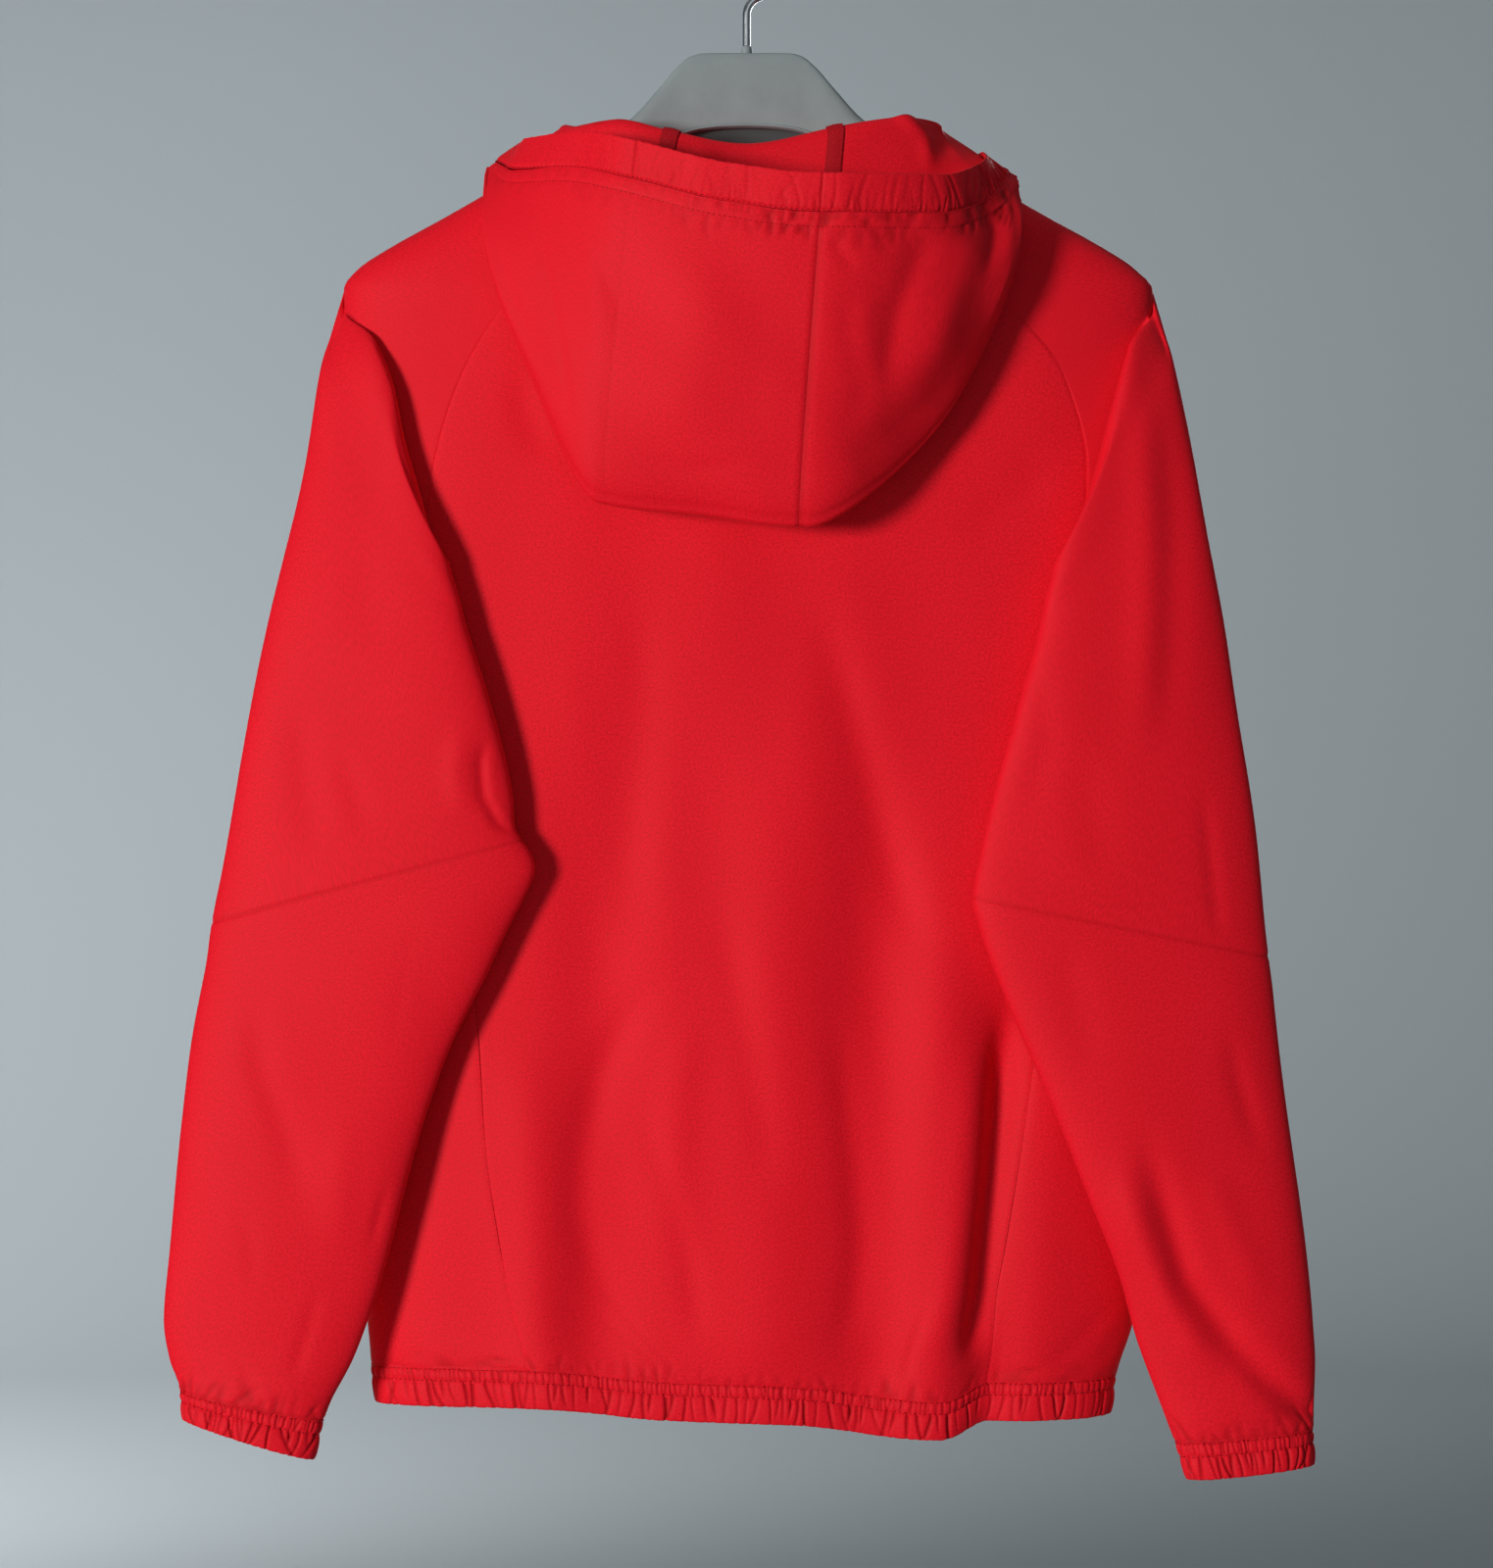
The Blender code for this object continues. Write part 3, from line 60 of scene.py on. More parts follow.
# Levels of the body: the oval's half width, its middle in x, and how far back and front bulge
Level = namedtuple("Level", "height half_width middle back front")
LEVELS = table_of(Level,
    (-.84, .204, -.002, .04, .039), (-.804, .2085, -.001, .041, .04), (-.771, .215, .002, .042, .0405),
    (-.6, .221, .003, .04, .04), (-.35, .224, .003, .035, .0365), (-.23, .2265, .001, .033, .034),
    (-.197, .2265, .001, .0325, .0335), (-.186, .218, 0, .032, .033), (-.174, .2, 0, .032, .033),
    (-.158, .171, 0, .032, .033), (-.136, .132, 0, .032, .033), (-.118, .097, 0, .032, .033),
    (-.105, .072, 0, .032, .033))
OVAL = 2.5

# Height of the seam that joins the hem band, across the back from the left side to the right
HemPoint = namedtuple("HemPoint", "x height")
HEM_BACK = table_of(HemPoint,
    (-.205, -.797), (-.119, -.797), (-.05, -.803), (.03, -.806), (.085, -.813), (.109, -.814), (.135, -.805),
    (.2, -.801))
HEM_FRONT = -0.802
HEM_BAND_HEIGHT = 0.0215
HEM_DRAWN_IN = 0.985
FRONT_INSET = 0.0009
BACK_COLUMNS = 14

# Side seams, set onto the back: distance from the middle plane at a height
SeamPoint = namedtuple("SeamPoint", "height left right")
SIDE_SEAMS = table_of(SeamPoint,
    (-.815, .118, .132), (-.784, .123, .136), (-.76, .13, .138), (-.725, .137, .144), (-.677, .144, .152),
    (-.619, .148, .16), (-.48, .165, .174), (-.354, .182, .188))

# Raglan seams of the back, from the underarm up; they end on the neckline
RaglanPoint = namedtuple("RaglanPoint", "along x height")
RAGLAN_BACK = {
    -1: table_of(RaglanPoint,
        (0, .182, -.354), (.2, .174, -.3), (.38, .162, -.257), (.58, .141, -.218), (.8, .099, -.176)),
    1: table_of(RaglanPoint,
        (0, .188, -.354), (.2, .189, -.297), (.38, .177, -.249), (.58, .144, -.209), (.8, .1, -.173)),
}

# Raglan seams of the front, from the underarm round the side; they end on the neckline. "across" runs round the oval:
# 0 at its side, 1 at the middle of the back, -1 at the middle of the front.
RingPoint = namedtuple("RingPoint", "along across height")
RAGLAN_FRONT = table_of(RingPoint,
    (0, .22, -.354), (.11, .13, -.3545), (.22, .04, -.353), (.33, -.05, -.346), (.44, -.14, -.334),
    (.56, -.22, -.308), (.67, -.29, -.272), (.78, -.35, -.236), (.89, -.41, -.195))

# Columns of a front, from its side seam (0) to the zip (1): their place round the oval at the hem
FootPoint = namedtuple("FootPoint", "over across")
FRONT_FOOT = table_of(FootPoint,
    (0, .43), (.07, .22), (.14, .06), (.21, -.04), (.29, -.13), (.36, -.22), (.64, -.53), (1, -.97))
SIDE_OVER = FRONT_FOOT[3].over

# Neckline of a half, from the middle of the back (0) over the shoulder to the middle of the front (1)
NeckPoint = namedtuple("NeckPoint", "along face out height")
NECKLINE = table_of(NeckPoint,
    (0, BACK, 0, -.15), (.14, BACK, .033, -.1485), (.26, BACK, .06, -.143), (.31, BACK, .078, -.132),
    (.36, BACK, .09, -.1215), (.41, BACK, .1, -.1175), (.46, FRONT, .092, -.123), (.51, FRONT, .086, -.137),
    (.56, FRONT, .078, -.151), (.7, FRONT, .056, -.176), (.86, FRONT, .029, -.197), (1, FRONT, .0075, -.205))
NECK_BACK, NECK_FRONT = 0.26, 0.56

# Largest soft folds of the body: a line from top to foot, how wide, how far out (in when negative)
Fold = namedtuple("Fold", "face x_top z_top x_foot z_foot width out")
FOLDS = table_of(Fold,
    (BACK, .147, -.56, .134, -.815, .016, -.008), (BACK, .076, -.42, .07, -.815, .024, -.005),
    (BACK, .02, -.4, .012, -.8, .03, .0045), (BACK, -.076, -.38, -.082, -.79, .024, -.005),
    (BACK, .112, -.5, .1, -.83, .022, .005), (BACK, -.125, -.6, -.11, -.815, .02, .0045),
    (FRONT, .085, -.33, .092, -.8, .028, -.006), (FRONT, .145, -.42, .14, -.81, .026, .006),
    (FRONT, -.075, -.36, -.08, -.81, .026, -.0055), (FRONT, -.14, -.3, -.15, -.8, .03, .005))

# ------------------------------------------------------------- sleeve tables

# Line where the sleeve folds over the back, from the shoulder tip to the underarm
ARMHOLE_FOLD = {
    -1: table_of(RaglanPoint,
        (0, .2265, -.197), (.13, .2175, -.212), (.26, .206, -.229), (.42, .1955, -.254), (.58, .1895, -.282),
        (.78, .1805, -.313), (1, .1713, -.347)),
    1: table_of(RaglanPoint,
        (0, .2275, -.197), (.24, .2135, -.229), (.49, .2015, -.268), (.77, .19, -.31), (1, .178, -.343)),
}
# The same armhole on the hidden side, from the shoulder tip down and round the side to the underarm
ARMHOLE_FRONT = table_of(RingPoint,
    (0, 0, -.197), (.16, -.055, -.218), (.36, -.095, -.25), (.56, -.11, -.282), (.67, -.095, -.303),
    (.75, -.055, -.32), (.83, .01, -.333), (.92, .095, -.341), (1, .18, -.344))
TUCK_TIP, TUCK_UNDERARM = 0.006, 0.019
SHORTEST_YOKE = 0.004
# How the sleeve turns out of its armhole: the rise of the fold, and how far two rows lie towards the first ring
LIP_RISE, TURN_RISE = 0.009, 0.0117
BACK_TURN, FRONT_LIP, FRONT_TURN = 0.22, 0.35, 0.62
# How far behind the back the layer next to it lies
REST_GAP = 0.0035

# Rings of the hanging sleeve: its outer and inner edges (distance out, y, height) and its half depth
Ring = namedtuple("Ring", "at outer_x outer_y outer_z inner_x inner_y inner_z half_depth")
# Their distances out and heights, outer edge then inner edge; both sleeves lie at the same depths
RING_EDGES = {
    -1: (
        (.236, -.239, .167, -.353), (.244, -.289, .153, -.393), (.256, -.349, .139, -.439), (.271, -.42, .129, -.479),
        (.283, -.485, .127, -.498), (.295, -.55, .123, -.505), (.3, -.582, .116, -.521), (.307, -.626, .139, -.57),
        (.314, -.68, .167, -.63), (.319, -.729, .189, -.698), (.322, -.769, .204, -.755), (.319, -.791, .216, -.79),
        (.313, -.809, .233, -.824), (.311, -.825, .239, -.846)),
    1: (
        (.238, -.239, .173, -.353), (.247, -.289, .16, -.396), (.258, -.349, .146, -.444), (.27, -.42, .134, -.487),
        (.279, -.485, .127, -.517), (.288, -.569, .124, -.536), (.291, -.59, .13, -.559), (.296, -.631, .145, -.598),
        (.302, -.68, .166, -.645), (.308, -.731, .189, -.703), (.312, -.769, .206, -.746), (.314, -.796, .215, -.779),
        (.313, -.83, .236, -.836), (.312, -.85, .243, -.857)),
}
RING_DEPTHS = (
    (-.014, -.042, .0115), (-.022, -.045, .0125), (-.028, -.047, .0135), (-.031, -.048, .014), (-.033, -.049, .0145),
    (-.034, -.05, .015), (-.034, -.05, .015), (-.034, -.049, .0145), (-.034, -.047, .014), (-.034, -.045, .013),
    (-.034, -.042, .012), (-.034, -.04, .012), (-.034, -.04, .0125), (-.034, -.04, .014))
RINGS = {side: [Ring(at, out_x, out_y, out_z, in_x, in_y, in_z, depth)
                for at, ((out_x, out_z, in_x, in_z), (out_y, in_y, depth)) in enumerate(zip(edges, RING_DEPTHS), 1)]
         for side, edges in RING_EDGES.items()}
FLAT_TUBE = 2.2
ELBOW_RING = 6
CUFF_RING = 13
LAST_RING = 14
RING_TRIM, ELBOW_TRIM = 0.014, 0.020
# Where the rows of the upper sleeve lie on its way from the raglan seam (0) to the elbow (1)
ARMHOLE_AT, LIP_AT, TURNED_AT = 0.25, 0.29, 0.32
RING_ROWS_AT = (0.38, 0.47, 0.60, 0.76, 0.89, 1.00)
# Stretches round the sleeve: back raglan seam, neckline, front raglan seam
BACK_STEPS, NECK_STEPS, FRONT_STEPS = 8, 6, 9
ROUND_STEPS = BACK_STEPS + NECK_STEPS + FRONT_STEPS
BACK_END = BACK_STEPS / ROUND_STEPS
RIDGE = (BACK_STEPS + NECK_STEPS / 2) / ROUND_STEPS
NECK_END = (BACK_STEPS + NECK_STEPS) / ROUND_STEPS
# Columns of a front: those that end on the raglan seam and those that end on the neckline
HOOD_FRONT_COLUMNS = 5
FRONT_COLUMNS = FRONT_STEPS + HOOD_FRONT_COLUMNS
RAGLAN_OVER = FRONT_STEPS / FRONT_COLUMNS
HEM_COLUMNS = 2 * FRONT_COLUMNS + BACK_COLUMNS

# --------------------------------------------------------------- hood tables

# Sections of the hood from the zip on the left (-1) round the back (0) to the zip on the right (1): the roll
# above the neck seam, the bottom fold of the hanging bag, the rim of the opening, and how wide the folds are
Section = namedtuple("Section", "at roll_x roll_y roll_z fold_x fold_y fold_z rim_x rim_y rim_z roll fold lift")
HOOD = table_of(Section,
    (-1, -.0075, .0365, -.19, -.0075, .0389, -.178, -.0075, .0425, -.16, 0, 0, .0007),
    (-.8, -.045, .043, -.169, -.068, .05, -.176, -.062, .056, -.146, .005, .005, .0009),
    (-.62, -.074, .042, -.142, -.107, .043, -.158, -.097, .047, -.13, .006, .006, .0012),
    (-.51, -.092, .034, -.118, -.128, .028, -.139, -.117, .03, -.12, .007, .007, .0014),
    (-.46, -.0995, .022, -.107, -.138, .014, -.132, -.1225, .017, -.115, .007, .007, .0016),
    (-.42, -.101, .004, -.104, -.1435, -.014, -.133, -.1245, -.006, -.1145, .007, .007, .0018),
    (-.38, -.0939, -.012, -.107, -.1425, -.045, -.17, -.1234, -.024, -.116, .007, .008, .0014),
    (-.3, -.0735, -.032, -.107, -.1161, -.056, -.254, -.0918, -.062, -.118, .008, .01, .0009),
    (-.2, -.0451, -.039, -.114, -.0798, -.064, -.321, -.0627, -.087, -.126, .008, .01, .0007),
    (0, 0, -.041, -.122, -.0227, -.066, -.328, -.0087, -.101, -.141, .008, .01, .0007),
    (.2, .0532, -.04, -.112, .0344, -.068, -.334, .0464, -.105, -.147, .008, .01, .0007),
    (.3, .0886, -.032, -.106, .1062, -.06, -.276, .105, -.085, -.145, .008, .01, .0009),
    (.38, .106, -.012, -.105, .15, -.045, -.17, .1321, -.034, -.127, .007, .008, .0014),
    (.42, .106, .004, -.104, .149, -.014, -.1355, .131, -.006, -.1205, .007, .007, .0018),
    (.46, .1025, .022, -.107, .143, .014, -.1335, .128, .017, -.119, .007, .007, .0016),
    (.51, .093, .034, -.118, .131, .028, -.141, .12, .03, -.1215, .007, .007, .0014),
    (.62, .074, .042, -.142, .108, .043, -.158, .098, .047, -.13, .006, .006, .0012),
    (.8, .045, .043, -.169, .068, .05, -.176, .062, .056, -.146, .005, .005, .0009),
    (1, .0075, .0365, -.19, .0075, .0389, -.178, .0075, .0425, -.16, 0, 0, .0007))
# Seams of the center piece, at the columns of the neckline below them
HOOD_SEAM = NECK_BACK * 5 / 7
HOOD_HEM_WIDTH = 0.0215
ROLL_FROM, ROLL_TO, FOLD_FROM, FOLD_TO = 0.07, 0.11, 0.50, 0.55
BELLY = 0.010

# ---------------------------------------------------- zip, hanger and hook

ZIP_EDGE = NECKLINE[-1].out
TAPE_INNER, TAPE_OUTER = 0.0008, 0.0125
TAPE_BEHIND = 0.0015
TAPE_BEHIND_CASING = 0.0024
ZIP_TOP = -0.1625
SLIDER_HEIGHT = -0.1760

HANGER_OVAL = 2.3
# Hanger, from its middle to its tip: top and bottom edges and half thickness
Bar = namedtuple("Bar", "out top bottom half_thickness")
HANGER = table_of(Bar,
    (0, -.0642, -.106, .0062), (.012, -.0642, -.1063, .0062), (.024, -.0643, -.1075, .0062),
    (.031, -.066, -.109, .0062), (.0381, -.0715, -.1115, .0063), (.05, -.085, -.119, .0066),
    (.0644, -.1005, -.129, .0072), (.08, -.111, -.1395, .008), (.097, -.1205, -.15, .009),
    (.132, -.1388, -.169, .011), (.17, -.1605, -.19, .013), (.195, -.175, -.202, .012), (.207, -.184, -.2055, .0075),
    (.2125, -.189, -.2045, .0042), (.2145, -.1935, -.201, .002))
BOSS_RADIUS, BOSS_HEIGHT, BOSS_ROOT = 0.0033, 0.0040, 0.0040
WIRE = 0.00225
STEM_TOP = -0.0425
BEND_RADIUS = 0.0106
CROOK_RADIUS = 0.0181
CROOK_END = radians(205)

# ------------------------------------------------------------------- helpers

def steady_slopes(values, keys):
    """Slopes through rows that never overshoot them: weighted harmonic means, flat where a column turns."""
    step = np.diff(keys)[:, None]
    rise = np.diff(values, axis=0) / step
    before, after = rise[:-1], rise[1:]
    weight_a, weight_b = 2 * step[1:] + step[:-1], step[1:] + 2 * step[:-1]
    same_way = before * after > 0
    safe_before, safe_after = np.where(same_way, before, 1), np.where(same_way, after, 1)
    inner = np.where(same_way, (weight_a + weight_b) / (weight_a / safe_before + weight_b / safe_after), 0)
    return np.concatenate([rise[:1], inner, rise[-1:]])


def between(start, end, start_slope, end_slope, step, t):
    """The cubic from one value to the next that has the given slopes at its ends."""
    first = start * (2 * t**3 - 3 * t**2 + 1) + start_slope * step * (t**3 - 2 * t**2 + t)
    return first + (end * (3 * t**2 - 2 * t**3) + end_slope * step * (t**3 - t**2))


def curve(rows, at):
    """Smooth values at the keys `at` (the rows' first column), one column for each other column."""
    table = np.asarray(rows, float)
    keys, values = table[:, 0], table[:, 1:]
    slopes = steady_slopes(values, keys)
    at = np.clip(np.asarray(at, float), keys[0], keys[-1])
    i = np.clip(np.searchsorted(keys, at) - 1, 0, len(keys) - 2)
    step = (keys[i + 1] - keys[i])[..., None]
    share = (at - keys[i])[..., None] / step
    return between(values[i], values[i + 1], slopes[i], slopes[i + 1], step, share)


def through(knots, points, at):
    """Smooth curve through a list of point arrays, one for each knot, read at the values `at`."""
    knots = np.asarray(knots, float)
    points = np.stack(points)
    slopes = np.gradient(points, knots, axis=0)
    i = np.clip(np.searchsorted(knots, at) - 1, 0, len(knots) - 2)
    n = np.arange(len(at))
    step = (knots[i + 1] - knots[i])[:, None]
    share = (at - knots[i])[:, None] / step
    return between(points[i, n], points[i + 1, n], slopes[i, n], slopes[i + 1, n], step, share)


def ease(value):
    """0 below 0, 1 above 1, smooth between."""
    value = np.clip(value, 0, 1)
    return value * value * (3 - 2 * value)


def mix(first, second, share):
    return first + (second - first) * share


def squared(value, power):
    """A sine or cosine that makes a fuller oval of a round one, with its sign kept."""
    return np.sign(value) * np.abs(value) ** power


def unit(vectors, soft=1e-9):
    return vectors / (np.linalg.norm(vectors, axis=-1, keepdims=True) + soft)


def stack(x, y, z):
    return np.stack(np.broadcast_arrays(x, y, z), axis=-1).astype(float)


# ---------------------------------------------------------------------- body

# The oval on which places round the body are measured
USUAL_HALF_WIDTH, USUAL_DEPTH = 0.222, 0.037


def oval_lengths():
    """How far round a quarter of the oval each angle lies, as a share of its length."""
    turn = np.linspace(0, pi / 2, 600)
    x = USUAL_HALF_WIDTH * np.cos(turn) ** (2 / OVAL)
    y = USUAL_DEPTH * np.sin(turn) ** (2 / OVAL)
    run = np.concatenate([[0], np.cumsum(np.hypot(np.diff(x), np.diff(y)))])
    return turn, run / run[-1]


TURN, SHARE = oval_lengths()


def body_folds(face, x, height):
    """How far the soft folds of one face push the cloth out."""
    out = np.zeros_like(x)
    for fold in FOLDS:
        along = (height - fold.z_top) / (fold.z_foot - fold.z_top)
        line = mix(fold.x_top, fold.x_foot, along)
        window = ease(along / 0.35) * ease((1.06 - along) / 0.12)
        bump = fold.out * np.exp(-((x - line) / fold.width) ** 2) * window
        out += np.where(face == fold.face, bump, 0)
    return out


def body(side, across, height):
    """Point of the body's cloth: across 0 at the side, 1 at mid back, -1 at mid front."""
    across, height = np.broadcast_arrays(np.asarray(across, float), np.asarray(height, float))
    half_width, middle, back, front = np.moveaxis(curve(LEVELS, height), -1, 0)
    turn = np.interp(np.abs(across), SHARE, TURN)
    x = middle + side * half_width * np.clip(np.cos(turn), 0, 1) ** (2 / OVAL)
    face = np.where(across > 0, BACK, FRONT)
    depth = np.where(across > 0, back, front) * np.sin(turn) ** (2 / OVAL)
    depth = depth + body_folds(face, x, height) * ease(np.abs(across) / 0.25)
    return stack(x, -face * depth, height)


def across_at(side, out, height):
    """The share round the back of the oval at which the body is `out` from the middle plane."""
    half_width, middle, _, _ = np.moveaxis(curve(LEVELS, height), -1, 0)
    ratio = np.clip((out - side * middle) / half_width, 0, 1)
    return np.interp(np.arccos(ratio ** (OVAL / 2)), TURN, SHARE)


def back_point(x, height):
    """Point of the body's back at a place seen from behind."""
    half_width, middle, back, _ = np.moveaxis(curve(LEVELS, height), -1, 0)
    ratio = np.clip(np.abs(x - middle) / half_width, 0, 1)
    depth = back * (1 - ratio**OVAL) ** (1 / OVAL)
    side_share = ease((1 - ratio) / 0.10)
    depth = depth + body_folds(np.full_like(x, BACK), x, height) * side_share
    return stack(x, -depth, height)


def neckline(along):
    """Neckline of a half as places on the oval: how far round it, and height."""
    rows = [(point.along, point.face * across_at(1, point.out, point.height), point.height) for point in NECKLINE]
    return curve(rows, along)


NECK_AT_BACK_RAGLAN, NECK_AT_FRONT_RAGLAN = neckline(np.array([NECK_BACK, NECK_FRONT]))


def hem_height(x):
    return curve(HEM_BACK, x)[..., 0]


def side_seam(side, height):
    column = 0 if side < 0 else 1
    return curve(SIDE_SEAMS, height)[..., column]


SEAM_ROWS = 12
BACK_ARM = SEAM_ROWS / (SEAM_ROWS + BACK_STEPS)
UNDERARM = RAGLAN_FRONT[0].height


def seam_place(side, share):
    """Side seam from the hem (0) to the underarm (1): distance out and height."""
    foot = hem_height(side * side_seam(side, HEM_BACK[3].height))
    height = mix(foot, UNDERARM, share)
    return side_seam(side, height), height


def raglan_back(side, share):
    """Raglan seam of the back, from the underarm (0) to the neckline (1): distance out and height."""
    across, height = NECK_AT_BACK_RAGLAN
    end = RaglanPoint(1.0, abs(body(side, across, height)[0]), height)
    return curve((*RAGLAN_BACK[side], end), share)


def raglan_front(side, share):
    """Raglan seam of the front, from the underarm (0) to the neckline (1): place on the oval and height."""
    start = RingPoint(0.0, across_at(side, side_seam(side, UNDERARM), UNDERARM), UNDERARM)
    end = RingPoint(1.0, *NECK_AT_FRONT_RAGLAN)
    return curve((start, *RAGLAN_FRONT[1:], end), share)


def back_edge(side, up):
    """Edge of the back panel: the side seam up to the underarm, then the raglan seam."""
    out_low, height_low = seam_place(side, np.clip(up / BACK_ARM, 0, 1))
    raglan = raglan_back(side, np.clip((up - BACK_ARM) / (1 - BACK_ARM), 0, 1))
    low = up <= BACK_ARM
    return np.where(low, out_low, raglan[:, 0]), np.where(low, height_low, raglan[:, 1])


def neck_place(at):
    """Point of the neckline at a hood section from -1 to 1."""
    across, height = np.moveaxis(neckline(np.abs(at)), -1, 0)
    left, right = body(-1, across, height), body(1, across, height)
    return np.where((at < 0)[:, None], left, right)


def back_panel(over, up):
    """Back: over 0 at the left seam and 1 at the right one, up 0 at the hem and 1 at the neckline."""
    left_out, left_height = back_edge(-1, up)
    right_out, right_height = back_edge(1, up)
    x = mix(-left_out + SEAM_EDGE, right_out - SEAM_EDGE, over)
    height = mix(left_height, right_height, over)
    low = ease(1 - up / BACK_ARM) ** 2
    straight = mix(hem_height(-left_out), hem_height(right_out), over)
    height = height + (hem_height(x) - straight) * low
    high = ease((up - BACK_ARM) / (1 - BACK_ARM))
    neck = neck_place(mix(-NECK_BACK, NECK_BACK, over))
    x = x + (neck[:, 0] - mix(-left_out, right_out, over)) * (up == 1)
    height = height + (neck[:, 2] - NECK_AT_BACK_RAGLAN[1]) * high
    height = height + SEAM_GAP / 2 * (ease(1 - 20 * up) - ease(20 * up - 19))
    return back_point(x, height)


def front_panel(side):
    def surface(over, up):
        """Front: over 0 at its side seam and 1 at the zip, up 0 at the hem and 1 at the raglan and the neckline."""
        on_raglan = over <= RAGLAN_OVER
        raglan = raglan_front(side, np.clip(over / RAGLAN_OVER, 0, 1))
        neck = neckline(mix(NECK_FRONT, 1, np.clip((over - RAGLAN_OVER) / (1 - RAGLAN_OVER), 0, 1)))
        top_across = np.where(on_raglan, raglan[:, 0], neck[:, 0])
        top_height = np.where(on_raglan, raglan[:, 1], neck[:, 1])
        seam_foot = hem_height(side * side_seam(side, HEM_BACK[3].height))
        height = mix(mix(seam_foot, HEM_FRONT, ease(2 * over)), top_height, up)
        across = mix(curve(FRONT_FOOT, over)[:, 0], top_across, ease(up))
        edge = across_at(side, side_seam(side, height), height)
        zip_edge = -across_at(side, ZIP_EDGE, height)
        to_edge = edge - mix(FRONT_FOOT[0].across, raglan_front(side, 0.0)[0], ease(up))
        to_zip = zip_edge - mix(FRONT_FOOT[-1].across, neckline(1.0)[0], ease(up))
        across = across + to_edge * ease(1 - over / SIDE_OVER) + to_zip * ease(1 - 3 * (1 - over))
        across = across - FRONT_INSET * ease(1 - 8 * (over - RAGLAN_OVER))
        height = height + SEAM_GAP / 2 * (ease(1 - 20 * up) - 1.6 * ease(20 * up - 19))
        return body(side, across, height)
    return surface


def hem_band(over, down):
    """Hem band below the panels' own hem points: over 0 at the left zip edge, 1 at the right one."""
    column = over * HEM_COLUMNS
    front_left = front_panel(-1)(np.clip(1 - column / FRONT_COLUMNS, 0, 1), np.zeros_like(over))
    back = back_panel(np.clip((column - FRONT_COLUMNS) / BACK_COLUMNS, 0, 1), np.zeros_like(over))
    right_share = np.clip((column - FRONT_COLUMNS - BACK_COLUMNS) / FRONT_COLUMNS, 0, 1)
    front_right = front_panel(1)(right_share, np.zeros_like(over))
    on_left = (column < FRONT_COLUMNS)[:, None]
    on_back = (column <= FRONT_COLUMNS + BACK_COLUMNS)[:, None]
    top = np.where(on_left, front_left, np.where(on_back, back, front_right))
    drawn_in = mix(1, HEM_DRAWN_IN, down)
    return stack(top[:, 0] * drawn_in, top[:, 1], top[:, 2] - SEAM_GAP - down * HEM_BAND_HEIGHT)


# ------------------------------------------------------------------- sleeves

def raglan_edge(side, share):
    """Seam of the sleeve's top: from the underarm up the back, round the neck, down the front."""
    back = raglan_back(side, np.clip(share / BACK_END, 0, 1))
    back_across = across_at(side, back[:, 0], back[:, 1])
    neck_share = np.clip((share - BACK_END) / (NECK_END - BACK_END), 0, 1)
    neck = neckline(mix(NECK_BACK, NECK_FRONT, neck_share))
    front = raglan_front(side, np.clip((1 - share) / (1 - NECK_END), 0, 1))
    on_back = share <= BACK_END
    on_neck = share <= NECK_END
    across = np.where(on_back, back_across, np.where(on_neck, neck[:, 0], front[:, 0]))
    height = np.where(on_back, back[:, 1], np.where(on_neck, neck[:, 1], front[:, 1]))
    return across, height


def armhole(side, share, tucked):
    """Armhole ring on the body: the visible fold line at the back, moved out under the fold if tucked."""
    to_tip = np.clip(share / RIDGE, 0, 1)
    tuck = tucked * mix(TUCK_TIP, TUCK_UNDERARM, ease(1 - 1.4 * to_tip))
    back = curve(ARMHOLE_FOLD[side], 1 - ease_ends(to_tip))
    out = back[:, 0] + tuck * ease(6 * (1 - to_tip))
    back_across = across_at(side, out, back[:, 1]) * ease(12 * (1 - to_tip))
    down = np.clip((share - RIDGE) / (1 - RIDGE), 0, 1)
    front = curve(ARMHOLE_FRONT, down)
    foot = across_at(side, ARMHOLE_FOLD[side][-1].x + tucked * TUCK_UNDERARM, ARMHOLE_FOLD[side][-1].height)
    foot_height = ARMHOLE_FOLD[side][-1].height
    last = ease((down - 0.83) / 0.17)
    front_across = mix(front[:, 0], foot, last)
    front_height = mix(front[:, 1], foot_height, last)
    on_back = share <= RIDGE
    return np.where(on_back, back_across, front_across), np.where(on_back, back[:, 1], front_height)


def ease_ends(value):
    """Runs a little ahead near the shoulder tip, where the raglan lines crowd."""
    return mix(value, np.sin(value * pi / 2), 0.35)


def lay_on_back(points):
    """Where the layer next to the body would come too close, it rests on the back."""
    x, y, z = points.T
    half_width, middle, _, _ = np.moveaxis(curve(LEVELS, z), -1, 0)
    inside = ease((1.0 - np.abs(x - middle) / half_width) / 0.04)
    limit = back_point(x, z)[:, 1] - REST_GAP
    return stack(x, mix(y, np.minimum(y, limit), inside), z)


def sleeve_tube(side, share, ring):
    """Point of the hanging sleeve: share round it (0 at its inner edge), ring along the table."""
    out_x, out_y, out_z, in_x, in_y, in_z, depth = np.moveaxis(curve(RINGS[side], ring), -1, 0)
    turn = np.where(share <= RIDGE, pi * share / RIDGE, pi + pi * (share - RIDGE) / (1 - RIDGE))
    power = 2 / FLAT_TUBE
    reach, thick = squared(np.cos(turn), power), squared(np.sin(turn), power)
    x, y, z = ((outer + inner) / 2 + reach * (inner - outer) / 2
               for outer, inner in ((out_x, in_x), (out_y, in_y), (out_z, in_z)))
    return lay_on_back(stack(side * x, y - thick * depth, z))


